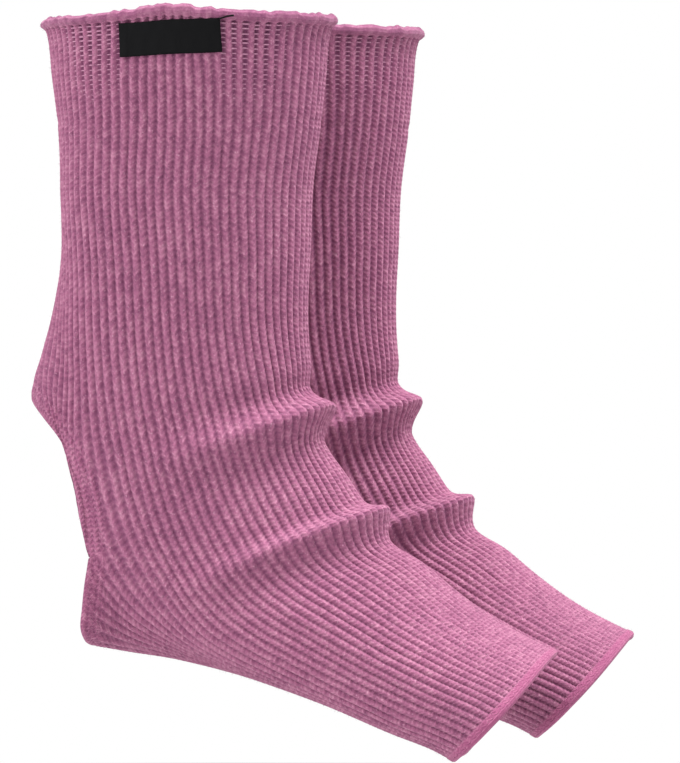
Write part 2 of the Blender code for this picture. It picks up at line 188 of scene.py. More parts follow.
# %% Studio paper
# Matt white paper: it sends light back evenly in all directions, without any gloss. Its faint grain is
# counted over the width of the whole sheet.
PAPER_GRAINS = 900.0
FLOOR_DROP, FLOOR_REACH, FLOOR_BACK, FLOOR_SIDES = 0.16, 1.65, 0.1, 96
paper_finish = {"Roughness": 1.0, "Specular IOR Level": 0.0}
paper, paper_tree, paper_shader = new_material("matt_studio_paper", paper_finish)
paper_place = add(paper_tree, "ShaderNodeTexCoord", output=0)
grain = add(paper_tree, NOISE, inputs={"Vector": paper_place, "Scale": PAPER_GRAINS, "Detail": 2.0})
paper_tone = add(paper_tree, MIX, COLOURS, {0: grain, 6: linear("#BEBEBE"), 7: linear("#C4C4C4")}, 2)
paper_tree.links.new(paper_tone, paper_shader.inputs["Base Color"])
floor_level = cad_box[0][2] - FLOOR_DROP
middle = -FLOOR_BACK * towards_camera
angles = [2 * math.pi * k / FLOOR_SIDES for k in range(FLOOR_SIDES)]
floor_edge = [(FLOOR_REACH * math.cos(a), FLOOR_REACH * math.sin(a)) for a in angles]
floor_points = [(middle.x + x, middle.y + y, floor_level) for x, y in floor_edge]
paper_floor = place("paper_floor", floor_points, [list(range(FLOOR_SIDES))], paper)
print("paper floor at", round(floor_level, 3))

# %% Lamps and sky
LAMPS = (
    # name, how far towards the camera, to its right and up (metres), size, watts
    ("top_lamp", 0.05, 0.55, 1.6, 1.1, 52.0),
    ("front_lamp", 1.7, -1.2, 0.9, 1.3, 12.0),
    ("left_lamp", 0.3, -1.8, 0.9, 1.1, 20.0),
)
LAMPS_AIM = Vector((0, 0, -0.03))
for name, near, right, up, size, watts in LAMPS:
    lamp = bpy.data.lights.new(name, "AREA")
    lamp.shape, lamp.size, lamp.energy = "DISK", size, watts
    stand = bpy.data.objects.new(name, lamp)
    at = towards_camera * near + to_the_right * right + Vector((0, 0, up))
    turned = (LAMPS_AIM - at).to_track_quat("-Z", "Y").to_matrix().to_4x4()
    stand.matrix_world = Matrix.Translation(at) @ turned
    bpy.context.scene.collection.objects.link(stand)
    print(name, "at", [round(v, 2) for v in at])
sky = bpy.data.worlds.new("soft_sky")
sky.use_nodes = True
sky.node_tree.nodes["Background"].inputs["Color"].default_value = linear("#FFFFFF")
sky.node_tree.nodes["Background"].inputs["Strength"].default_value = 1.0
bpy.context.scene.world = sky
bpy.context.scene.view_settings.view_transform = "Standard"
bpy.context.scene.view_settings.look = "None"

# %% [markdown]
# ## The cloth's form
# The solids were made from a few sections of the leg and the foot, and the knit has to follow the very same
# form, so the same sizes stand here again. A section is an egg-shaped ring: its front and back points, its
# half width, how much narrower it is in front, and how square its back is. In the tables p runs to the toes
# and h up. A place round a section is a share from 0 at the shin over 0.5 at the back to 1. The folds over
# the instep are ridges that run across the sock and die out at its sides.

# %% Sizes of the cloth
# CORNER is the share where the heel opening's corner lies, and LABEL_AT is the label's middle.
RIBS, WALL, SOCK_SPACING = 76, 1.9, 106.0
CORNER, LABEL_AT = 0.395, 0.224
GRID_ROUND = 608
LEG_ROWS = (
    # down, back p and h, front p and h, half width, egg, square
    (0.0, -51.6, 116.0, 55.5, 117.0, 41.5, 0.05, 0.90),
    (6.0, -49.7, 111.0, 53.4, 111.5, 40.5, 0.05, 0.88),
    (22.0, -47.6, 95.5, 51.6, 95.5, 38.5, 0.07, 0.82),
    (39.0, -45.3, 78.5, 49.9, 78.5, 36.5, 0.09, 0.76),
    (59.0, -44.2, 58.0, 47.2, 58.0, 35.0, 0.12, 0.72),
    (84.0, -45.4, 33.5, 46.0, 33.5, 33.5, 0.14, 0.70),
    (101.0, -49.3, 18.0, 45.0, 15.0, 32.5, 0.14, 0.68),
    (113.0, -53.2, 7.5, 45.0, 2.0, 32.0, 0.12, 0.68),
    (121.0, -56.5, -1.0, 45.6, -7.0, 32.0, 0.10, 0.68),
    (129.0, -58.2, -8.0, 46.8, -15.5, 32.0, 0.08, 0.68),
    (137.0, -58.1, -15.0, 49.0, -23.5, 32.0, 0.06, 0.68),
    (145.0, -57.2, -20.5, 51.5, -31.0, 32.0, 0.04, 0.68),
)
FOOT_ROWS = (
    # along, the same columns, the outer and inner bow, and how low the corner's ribs run
    (0.0, -29.5, -110.0, 51.5, -31.0, 31.5, 0.10, 0.80, 0.0, 0.0, 0.395),
    (16.0, -16.0, -113.2, 57.5, -44.5, 33.0, 0.14, 0.74, 0.0, 0.0, 0.403),
    (32.0, 0.0, -115.4, 66.0, -58.0, 34.0, 0.18, 0.68, 0.0, 0.0, 0.408),
    (48.0, 17.0, -118.6, 76.0, -69.0, 35.5, 0.20, 0.64, 0.0, 0.0, 0.410),
    (66.0, 37.0, -123.2, 88.5, -79.5, 37.0, 0.20, 0.62, 1.2, -0.8, 0.408),
    (86.0, 59.0, -129.5, 102.5, -91.0, 38.5, 0.18, 0.62, 3.6, -3.2, 0.404),
    (108.0, 82.0, -138.0, 118.0, -101.5, 40.0, 0.14, 0.64, 5.0, -5.4, 0.400),
    (128.0, 99.6, -144.2, 133.0, -109.2, 40.5, 0.12, 0.68, 6.2, -7.6, 0.397),
    (136.0, 106.0, -147.6, 139.2, -112.0, 40.5, 0.12, 0.70, 6.8, -8.6, 0.396),
)
LEG_END, FOOT_END = LEG_ROWS[-1][0], FOOT_ROWS[-1][0]
END = {"leg": LEG_END, "foot": FOOT_END}
print("length of the tubes in millimetres:", END)

# %% The slit and the folds
# The slit's row, from the shin to the heel opening's corner, and the opening's two edges behind it: how far
# along, p, h and half width.
INSTEP_ROW = (
    (0.00, 51.5, -31.0, 0.0),
    (0.13, 49.8, -34.0, 8.8),
    (0.26, 44.0, -41.0, 17.0),
    (0.52, 24.0, -58.0, 28.0),
    (0.78, -2.0, -72.5, 31.8),
    (1.00, -26.0, -78.0, 29.8),
)
UPPER_EDGE = (
    (0.00, -26.0, -78.0, 29.8),
    (0.14, -26.9, -66.0, 30.2),
    (0.28, -28.8, -55.0, 30.0),
    (0.42, -32.3, -44.8, 29.2),
    (0.57, -38.2, -35.5, 27.0),
    (0.72, -46.0, -28.3, 22.0),
    (0.87, -53.8, -22.6, 12.5),
    (1.00, -57.2, -20.5, 0.0),
)
LOWER_EDGE = (
    (0.00, -26.0, -78.0, 29.8),
    (0.20, -27.4, -86.5, 30.3),
    (0.42, -28.4, -96.0, 30.5),
    (0.60, -29.4, -104.0, 29.2),
    (0.72, -29.4, -108.2, 24.5),
    (0.85, -29.4, -109.8, 13.5),
    (1.00, -29.5, -110.0, 0.0),
)
FOLDS = (
    # tube, at, drift to the sides, height, width above and below, reach on the outer and inner side
    ("leg", 138.5, -8.0, 5.9, 4.0, 4.9, 0.34, 0.24),
    ("foot", 40.5, -17.0, 6.0, 4.6, 5.0, 0.36, 0.26),
    ("foot", 5.5, -10.0, -2.2, 5.0, 11.0, 0.32, 0.24),
    ("leg", 129.5, -8.0, -1.5, 4.5, 3.5, 0.32, 0.22),
    ("foot", 52.5, -16.0, -2.2, 5.5, 10.0, 0.35, 0.24),
)


# %% Smooth steps and curves
def eased(t):
    """A smooth step from 0 to 1."""
    t = np.clip(t, 0.0, 1.0)
    return t * t * (3.0 - 2.0 * t)


def within(value, limit, over, most=1.0):
    """The most well below a limit, falling smoothly to 0 at it, over a width."""
    return most * eased((limit - value) / over)


def beyond(value, limit, over, most=1.0):
    """0 up to a limit, rising smoothly to the most above it, over a width."""
    return most * eased((value - limit) / over)


def unit(vectors):
    """The vectors at length 1."""
    return vectors / np.linalg.norm(vectors, axis=-1)[..., None]


def bell(reach, spread):
    """Whole steps to either side with weights on a bell curve, to soften a row of numbers with."""
    offsets = np.arange(-reach, reach + 1)
    weights = np.exp(-0.5 * (offsets / spread) ** 2)
    return zip(offsets, weights / weights.sum())


def running(points):
    """How far along a line of points each of them lies."""
    return np.concatenate([[0], np.cumsum(np.linalg.norm(np.diff(points, axis=0), axis=1))])


def along_table(rows, at):
    """All columns of a table at the positions in its first column, on a smooth curve through its rows."""
    table = np.array(rows, float)
    key = table[:, 0]
    slope = np.gradient(table, key, axis=0)
    at = np.clip(np.atleast_1d(np.asarray(at, float)), key[0], key[-1])
    i = np.clip(np.searchsorted(key, at, side="right") - 1, 0, len(key) - 2)
    width = (key[i + 1] - key[i])[:, None]
    t = (at - key[i])[:, None] / width
    start = (1 + 2 * t) * (1 - t) ** 2 * table[i] + t * (1 - t) ** 2 * width * slope[i]
    end = t * t * (3 - 2 * t) * table[i + 1] + t * t * (t - 1) * width * slope[i + 1]
    return start + end


def level_at(rows, row, side):
    """The table with its next row mirrored past `row`, so that the curve crosses it level."""
    here, beside = rows[row], rows[row + side]
    mirrored = (2 * here[0] - beside[0], *beside[1:3], 2 * here[3] - beside[3])
    return (mirrored, *rows) if side > 0 else (*rows, mirrored)


# %% Sections of the cloth
# Under the label the ribs are gathered: how much, over what share to each side, and how far down.
GATHERED, GATHER_WIDE, GATHER_DOWN = 0.26, 0.085, 60.0
SECTION_STEPS, BOW_POWER = 721, 1.3


def rib_places(share, row, down):
    """Where each rib lies round its section: drawn together under the label, and low on the sole's sides."""
    if down is not None:
        away = (share - LABEL_AT) / GATHER_WIDE
        fade = np.clip(1 - down / GATHER_DOWN, 0, 1) ** 2
        return share - GATHERED * fade * GATHER_WIDE * away * np.exp(-away * away)
    folded = np.minimum(share, 1 - share)
    bump = eased(folded / CORNER) * within(folded, 0.5, 0.5 - CORNER)
    return share + np.where(share <= 0.5, 1.0, -1.0) * (row[10] - CORNER) * bump


def section(row, share, down=None):
    """Points of one section at the shares round it."""
    back_p, back_h, front_p, front_h, half, egg, square = row[1:8]
    angle = np.linspace(0, 2 * math.pi, SECTION_STEPS)
    c, s = np.cos(angle), np.sin(angle)
    reach = np.where(c > 0, c, -np.abs(c) ** square)
    p = (back_p + front_p) / 2 + (front_p - back_p) / 2 * reach
    h = (back_h + front_h) / 2 + (front_h - back_h) / 2 * reach
    outline = np.stack([p, h, half * s * (1 - egg * c)], axis=1)
    if len(row) > 8:
        across = np.array([front_h - back_h, back_p - front_p])
        bow = np.where(s > 0, row[8], row[9]) * np.abs(s) ** BOW_POWER
        outline[:, :2] += bow[:, None] * across / np.linalg.norm(across)
    length = running(outline)
    places = rib_places(share, row, down)
    return np.stack([np.interp(places, length / length[-1], outline[:, k]) for k in range(3)], axis=1)


# %% Rows of the smooth cloth
# Near the slit a row is shifted onto the slit's own edge: where that starts on the leg or ends on the foot,
# and its power. Away from the slit the shift's corners are softened.
LEG_SHIFT, FOOT_SHIFT = (62.0, 1.5), (74.0, 2.2)
SOFT_REACH, SOFT_SPREAD, SOFT_AWAY = 48, 16, 26.0
# The rim stands higher over the label.
RIM_HIGHER, RIM_SHARE, RIM_DOWN = 3.0, 0.07, 25


def slit_row(share, edge):
    """The slit's row: over the instep, and round the heel opening on the edge given."""
    folded = np.minimum(share, 1 - share)
    front = along_table(level_at(INSTEP_ROW, 0, 1), folded / CORNER)[:, 1:]
    back = along_table(level_at(edge, -1, -1), np.maximum(folded - CORNER, 0) / (0.5 - CORNER))[:, 1:]
    points = np.where((folded < CORNER)[:, None], front, back)
    points[:, 2] *= np.where(share <= 0.5, 1.0, -1.0)
    return points


def softened(rows, away):
    """A closed row of shifts with its corners softened, the more the further it is from the slit."""
    soft = sum(weight * np.roll(rows, step, axis=0) for step, weight in bell(SOFT_REACH, SOFT_SPREAD))
    return rows + eased(away / SOFT_AWAY) * (soft - rows)


def smooth_row(tube, at, share):
    """The smooth cloth, one row of points at `at` along a tube."""
    if tube == "leg":
        points = section(along_table(LEG_ROWS, at)[0], share, at)
        shift = slit_row(share, UPPER_EDGE) - section(along_table(LEG_ROWS, LEG_END)[0], share, LEG_END)
        start, power = LEG_SHIFT
        beside = (share - LABEL_AT) / RIM_SHARE
        points[:, 1] += RIM_HIGHER * np.exp(-(beside**2)) * max(0.0, 1 - at / RIM_DOWN)
        return points + max(0.0, (at - start) / (LEG_END - start)) ** power * softened(shift, LEG_END - at)
    points = section(along_table(FOOT_ROWS, at)[0], share)
    shift = slit_row(share, LOWER_EDGE) - section(along_table(FOOT_ROWS, 0.0)[0], share)
    stop, power = FOOT_SHIFT
    return points + max(0.0, 1 - at / stop) ** power * softened(shift, at)


# %% The smooth cloth as two grids
# The ribs bend round the ankle within these rows of the slit, and less towards the shin and the corner. Where
# the tubes meet, their directions agree.
BEND_REACH, BEND_SPREAD = 50, 20.0
BEND_NEAR, BEND_SHIN, BEND_CORNER = (44.0, 27.5), 0.12, 0.07
JOINT_SOFT, JOINT_CORNER = (16.0, 16.0), 0.03
DIRECTION_COLUMNS = 9


def bent(leg, foot, folded):
    """Both grids with the ribs of the instep led round the ankle in one soft bend."""
    line = np.concatenate([leg[:-1], foot])
    row, last = np.arange(len(line)), len(line) - 1
    soft = sum(weight * line[np.clip(row + step, 0, last)] for step, weight in bell(BEND_REACH, BEND_SPREAD))
    near = within(np.abs(row - (len(leg) - 1)), *BEND_NEAR)[:, None]
    side = (eased(folded / BEND_SHIN) * within(folded, CORNER, BEND_CORNER))[None, :]
    line += (near * side)[..., None] * (soft - line)
    return line[: len(leg)], line[len(leg) - 1 :]


def outward(points):
    """The outward directions of a grid of points, each taken over the width of a rib or two."""
    along = np.gradient(points, axis=0)
    area = np.cross(np.roll(points, -1, axis=1) - np.roll(points, 1, axis=1), along)
    return unit(sum(np.roll(area, k, axis=1) for k in range(-DIRECTION_COLUMNS, DIRECTION_COLUMNS + 1)))


def cloth_grids():
    """Both tubes' points and outward directions, which agree where the tubes meet over the instep."""
    share = np.arange(GRID_ROUND) / GRID_ROUND
    folded = np.minimum(share, 1 - share)
    rows = {tube: np.linspace(0, end, round(end) + 1) for tube, end in END.items()}
    plain = {tube: np.array([smooth_row(tube, at, share) for at in rows[tube]]) for tube in rows}
    turned = dict(zip(rows, bent(plain["leg"], plain["foot"], folded)))
    points = {t: np.where((folded >= CORNER)[None, :, None], plain[t], turned[t]) for t in rows}
    normals = {t: outward(points[t]) for t in rows}
    joint = unit(normals["leg"][-1] + normals["foot"][0])
    for t in rows:
        near = LEG_END - rows[t] if t == "leg" else rows[t]
        weight = within(near, *JOINT_SOFT)[:, None] * within(folded, CORNER, JOINT_CORNER)
        normals[t] = unit(normals[t] + weight[..., None] * (joint - normals[t]))
    return {t: (points[t], normals[t]) for t in rows}


GRIDS = cloth_grids()
print("cloth grids:", {t: GRIDS[t][0].shape for t in GRIDS})

# %% How the folds run out
# The shares over which the folds' crests drift, and the part of their reach in which they fade.
DRIFT_SHIN, DRIFT_CORNER, FOLD_FADE = 0.30, (CORNER + 0.03, 0.12), 0.8


# %% Points of the cloth, and of the folded cloth
def cloth(tube, at, share):
    """Points of the smooth cloth, and its outward directions there."""
    at, share = np.broadcast_arrays(np.asarray(at, float), np.asarray(share, float))
    points, normal = GRIDS[tube]
    r = np.clip(at / END[tube], 0, 1) * (len(points) - 1)
    c = (share % 1.0) * GRID_ROUND
    r0 = np.minimum(r.astype(int), len(points) - 2)
    c0 = c.astype(int) % GRID_ROUND
    c1 = (c0 + 1) % GRID_ROUND
    u, v = (r - r0)[..., None], (c - np.floor(c))[..., None]
    found = []
    for grid in (points, normal):
        upper = grid[r0, c0] * (1 - v) + grid[r0, c1] * v
        lower = grid[r0 + 1, c0] * (1 - v) + grid[r0 + 1, c1] * v
        found.append(upper * (1 - u) + lower * u)
    return found[0], unit(found[1])


def fold_height(tube, at, share):
    """How far the folds raise the cloth. Their crests climb towards the sides."""
    share = share % 1.0
    turn = np.where(share > 0.5, share - 1, share)
    drifting = eased(np.abs(turn) / DRIFT_SHIN) * within(np.abs(turn), *DRIFT_CORNER)
    along = at if tube == "leg" else LEG_END + at
    height = np.zeros_like(share)
    for on, start, drift, high, above, below, outer, inner in FOLDS:
        away = along - (start if on == "leg" else LEG_END + start) - drift * drifting
        reach = np.where(turn > 0, outer, inner)
        fade = within(np.abs(turn), reach, FOLD_FADE * reach)
        height += high * fade * np.exp(-((away / np.where(away < 0, above, below)) ** 2))
    return height


def folded_cloth(tube, at, share, out=0.0):
    """Points of the folded cloth moved out by `out`, and its outward directions."""
    points, normal = cloth(tube, at, share)
    return points + normal * (fold_height(tube, at, share) + out)[..., None], normal


def to_world(points, sock):
    """Sock coordinates in millimetres to the frame in metres."""
    return np.stack([-points[..., 2] + sock * SOCK_SPACING, -points[..., 0], points[..., 1]], axis=-1) * MM


# %% [markdown]
# ## The knit
# Rib knit has columns of stitches, the wales, that stand up as ribs, with purl valleys between. Each stitch
# of a rib shows as a V. A picture of loops would look painted on, and real loops of yarn would take millions
# of faces. So the grid's own rows are bent to run along the arms of the Vs: a row of points on the yarn and
# a row between two yarns are enough for every stitch, at two rows and six columns for each. The rib keeps
# its width where the cloth is stretched, and the valley beside it opens instead.

# %% Sizes of the stitches
# A stitch's height, a rib's width, and how many courses the arms of a V lean.
COURSE, RIB_WIDE, SLANT = 1.75, 2.05, 0.70
# The six columns of a rib: how high each stands, how far it lies in the valley, and how far its stitch leans.
RISE = np.array([0.0, 0.12, 0.86, 0.97, 0.86, 0.12])
IN_VALLEY = np.array([1.0, 0.75, 0.0, 0.0, 0.0, 0.75])
ARMS = np.array([0.0, 0.25, 0.62, 1.0, 0.62, 0.25])
# Half a rib as a share of the pitch, its shoulders and flanks, and how far a rib wanders off its line.
HALF_LEAST, HALF_MOST, SHOULDER, FLANK, WANDER = 0.22, 0.34, 0.62, 0.09, 0.03
WANDER_KNOTS = 12
print("courses:", {tube: round(end / COURSE) for tube, end in END.items()})


# %% Where the columns of the knit lie
def wandering(rows, seed):
    """A slow random drift of each rib to either side, since hand-tensioned yarn never lies quite straight."""
    rng = np.random.default_rng(seed)
    knots = rng.normal(0, 1, (WANDER_KNOTS, RIBS))
    at = np.linspace(0, WANDER_KNOTS - 1, rows)
    i = np.minimum(at.astype(int), WANDER_KNOTS - 2)
    t = eased(at - i)[:, None]
    return knots[i] * (1 - t) + knots[i + 1] * t


def knit_columns(tube, at, drift):
    """The share round of every column in these rows, its lane on its rib, and the pitch of the ribs."""
    ribs = np.arange(RIBS)
    left, _ = cloth(tube, at[:, None], (ribs - 0.5) / RIBS)
    right, _ = cloth(tube, at[:, None], (ribs + 0.5) / RIBS)
    pitch = np.linalg.norm(right - left, axis=-1)
    half = np.clip(RIB_WIDE / 2 / pitch, HALF_LEAST, HALF_MOST)
    flank, shoulder = half + FLANK, SHOULDER * half
    lanes = np.stack([-0.5 + 0 * half, -flank, -shoulder, 0 * half, shoulder, flank], axis=-1)
    lanes[..., 1:] += WANDER * drift[..., None]
    share = (ribs[None, :, None] + lanes) / RIBS
    return share.reshape(len(at), -1), lanes.reshape(len(at), -1), np.repeat(pitch, 6, axis=1)


# %% Sizes of the ladders and the plain bands
# Each group is where something starts or stops, over what width, and how much it is at most, if not 1.
# Ladders open below the rim, where the pitch is wide: beside the label on the near sock, and all round the
# far one.
LADDER_TOP, LADDER_FOOT, LADDER_PITCH = (2.8, 2.0), (52.0, 34.0), (3.45, 0.9)
LADDER_FROM_LABEL, LADDER_TO, FAR_OPEN = (0.052, 0.02), (0.172, 0.045), 0.75
# The knit is plain at the heel opening's band and lip, the rim and the toe edge, and partly over the toes.
HEEL_BAND, HEEL_LIP, RIM_BAND, TOE_BAND = (8.0, 2.4, 0.42), (3.4, 1.8, 0.55), (4.4, 1.2, 0.85), (4.8, 1.4)
FLATTER_FROM, FLATTER_SIDE = (50.0, 50.0, 0.5), (0.24, 0.16)
HEEL_PINK, TOE_PINK = (8.0, 2.4, 0.25), (4.4, 1.0)
# Only the cloth behind this share is measured from the heel opening's edge. The rest counts as far away.
EDGE_STEPS, NEAR_HEEL, FAR_AWAY = 601, 0.3, 60.0


# %% The knit's changes from point to point
def open_share(tube, at, share, pitch, sock):
    """1 where the cuff's knit is pulled open into ladders, and 0 where it is gathered or below the cuff."""
    if tube == "foot":
        return 0.0 * share
    pulled = beyond(at, *LADDER_TOP) * within(at, *LADDER_FOOT) * beyond(pitch, *LADDER_PITCH)
    beside = np.abs(share - LABEL_AT)
    return pulled * (FAR_OPEN if sock else beyond(beside, *LADDER_FROM_LABEL) * within(beside, *LADDER_TO))


def edge_places(tube, points, folded):
    """How far each point lies from the heel opening's edge, and how far round that edge."""
    share = np.linspace(CORNER, 1 - CORNER, EDGE_STEPS)
    edge = slit_row(share, UPPER_EDGE if tube == "leg" else LOWER_EDGE)
    round_it = running(edge)
    away, along = np.full(folded.shape, FAR_AWAY), np.zeros(folded.shape)
    for row in range(len(points)):
        near = folded[row] > NEAR_HEEL
        gap = np.linalg.norm(points[row][near][:, None] - edge[None], axis=-1)
        away[row][near], along[row][near] = gap.min(axis=1), round_it[gap.argmin(axis=1)]
    return away, along


def plain_share(tube, at, away, folded):
    """1 on the plain knit at the rim, the heel opening and the toe edge, and 0 on the ribs."""
    heel = within(away, *HEEL_BAND) + within(away, *HEEL_LIP)
    if tube == "leg":
        return np.maximum(within(at, *RIM_BAND), heel)
    # Over the instep towards the toes the cloth is stretched wide, and its ribs lie flatter.
    flatter = beyond(at, *FLATTER_FROM) * within(folded, *FLATTER_SIDE)
    return np.maximum(np.maximum(within(FOOT_END - at, *TOE_BAND), heel), flatter)


def pink_share(tube, at, away):
    """1 on the smooth toe edge and a little at the heel's band, where the plain knit shows its own pink."""
    heel = within(away, *HEEL_PINK)
    return heel if tube == "leg" else np.maximum(heel, within(FOOT_END - at, *TOE_PINK))


# %% [markdown]
# ## The wall of a tube
# Cloth has two sides, and both show here, since the socks are open at the rim, the heel and the toes. A
# Solidify modifier would give the wall its thickness but square edges. So one grid goes down the outside,
# round the edge, up the inside and round again, and its edges can roll over as knitting does: the rim into
# an uneven bead, and the toe edge into a thin curl. The inside has wide rows, since little of it is seen.

# %% Sizes of the wall
# Rows round the first and the last edge, and the distance of the rows on the inside.
EDGE_TURNS, INNER_STEP = {"leg": (7, 3), "foot": (3, 3)}, 4.8
# At an edge the rows are drawn in, so that they have room to turn: at the rim by ROLL, at the toes and at the
# heel opening, which lies behind a share, by HALF_EDGE. The tubes meet up to the share MEETING.
ROLL, HALF_EDGE, EDGE_NEAR = 2.2, (WALL + 0.6) / 2, (7.0, 7.0)
BEHIND, MEETING = (CORNER + 0.004, 0.05), CORNER + 0.005
# The rim leans out, and its bead is thick and uneven. Its top runs in small waves.
ROLL_OUT, ROLL_THICK, ROLL_UNEVEN = (2.6 * ROLL, 1.6 * ROLL, 0.35), 0.95, 0.34
BEAD_MIDDLE, BEAD_HALF, RIM_WAVE = 2.0, 2.1, (5.0, 5.0, 0.5)
# A faint groove shows where the cuff ends.
CUFF_END, CUFF_GROOVE, CUFF_GROOVE_WIDE = 38.5, 0.22, 1.5
# The wall gets thinner at the heel opening, and the toe edge swells and curls up over the toes.
HEEL_THIN, TOE_SWELL, TOE_EDGE = (7.0, 5.0, 0.45), 0.45, (4.6, 1.4)
TOE_CURL, TOE_CURL_SHARE = (3.0, 2.5, 0.9), 0.03
# The inside has a weaker relief. Beside the heel opening a band of columns runs along the edge, and shade is
# painted onto the rolled rim.
INSIDE_WEAKER, EDGE_BAND, EDGE_COLUMN, RIM_SHADE_REACH = 0.7, (8.4, 2.0, 0.9), 2.3, (3.6, 1.6)
RIM_SEED, WAVE_SEED, LUMP_COLUMNS = 900, 50, 3


# %% The rows of a wall
def wall_rows(tube, courses):
    """Every row's course, its turn round an edge, from 0 outside to 1 inside, and its depth in the wall."""
    outside = np.arange(2 * courses + 1) / 2
    inside = np.linspace(courses, 0, int(END[tube] / INNER_STEP))
    first, last = ((np.arange(n) + 1) / (n + 1) for n in EDGE_TURNS[tube])
    course = np.concatenate([outside, np.full(len(last), courses), inside, np.zeros(len(first))])
    turn = np.concatenate([np.zeros(len(outside)), last, np.ones(len(inside)), 1 - first])
    return course, turn, (1 - np.cos(math.pi * turn)) / 2


def places_along(tube, courses, course, turn, depth, folded):
    """How far along the tube each point lies: on the arms of its stitch, and drawn in at the edges."""
    end = END[tube]
    fade = eased(np.minimum(course, courses - course)) * (1 - depth)
    lean = np.tile(ARMS, RIBS)[None, :] * SLANT * end / courses
    at = (course * end / courses)[:, None] + fade[:, None] * lean
    inward = (1 - np.sin(math.pi * turn))[:, None]
    near_start, near_end = within(at, *EDGE_NEAR), within(end - at, *EDGE_NEAR)
    behind = beyond(folded, *BEHIND)
    first, last = (ROLL, behind * HALF_EDGE) if tube == "leg" else (behind * HALF_EDGE, HALF_EDGE)
    return np.clip(at + near_start * first * inward - near_end * last * inward, 0, end)


def lumps(seed):
    """A small random rise at each rib, smoothed over the columns, for the uneven rolled rim."""
    high = np.random.default_rng(seed + RIM_SEED).uniform(-1, 1, 2 * RIBS)
    at = np.arange(6 * RIBS) / LUMP_COLUMNS
    i, t = at.astype(int), eased(at - np.floor(at))
    return (high[i % (2 * RIBS)] * (1 - t) + high[(i + 1) % (2 * RIBS)] * t)[None, :]


def raised(tube, at, away, folded, turn, depth, seed):
    """How far each point stands out of the cloth: the wall's depth, the rolled rim and the toe edge."""
    outside, facing = (1 - depth)[:, None], np.cos(math.pi * turn)[:, None]
    out = -WALL * depth[:, None] * (1 - within(away, *HEEL_THIN))
    if tube == "leg":
        bead = np.sqrt(np.clip(1 - ((at - BEAD_MIDDLE) / BEAD_HALF) ** 2, 0, 1)) * outside
        out += facing * within(at, *ROLL_OUT)
        out += (ROLL_THICK + ROLL_UNEVEN * lumps(seed)) * bead
        return out - CUFF_GROOVE * np.exp(-(((at - CUFF_END) / CUFF_GROOVE_WIDE) ** 2)) * outside
    to_edge = FOOT_END - at
    toe = within(to_edge, *TOE_EDGE)
    # The edge curls up a little at the middle of the toes' upper side.
    curl = within(to_edge, *TOE_CURL) * np.exp(-((folded / TOE_CURL_SHARE) ** 2))
    return out + (TOE_SWELL * facing + curl) * toe


# %% The stitch map and the sharp edges
def map_stitches(mesh, u, v):
    """The stitch map counts ribs across and courses along, with the loop's own rows as its lines."""
    right = np.concatenate([u[:, 1:], u[:, :1] + RIBS], axis=1)
    below = np.concatenate([v[1:], [v[-1] + 0.5]])
    low_u = np.concatenate([u[1:], u[:1]])
    low_right = np.concatenate([right[1:], right[:1]])
    corners_u = np.stack([u, right, low_right, low_u], axis=-1)
    corners_v = np.stack([v, v, below, below], axis=-1)[:, None]
    corners = np.stack(np.broadcast_arrays(corners_u, corners_v), axis=-1)
    mesh.uv_layers.new(name="stitches").data.foreach_set("uv", corners.astype(np.float32).ravel())


def mark_sharp(mesh, sharp, columns):
    """Marks the edges that run along a row between two sharp points."""
    ends = np.empty(2 * len(mesh.edges), np.int32)
    mesh.edges.foreach_get("vertices", ends)
    ends = ends.reshape(-1, 2)
    same_row = ends[:, 0] // columns == ends[:, 1] // columns
    marks = sharp[ends].all(axis=1) & same_row
    mesh.attributes.new("sharp_edge", "BOOLEAN", "EDGE").data.foreach_set("value", marks)


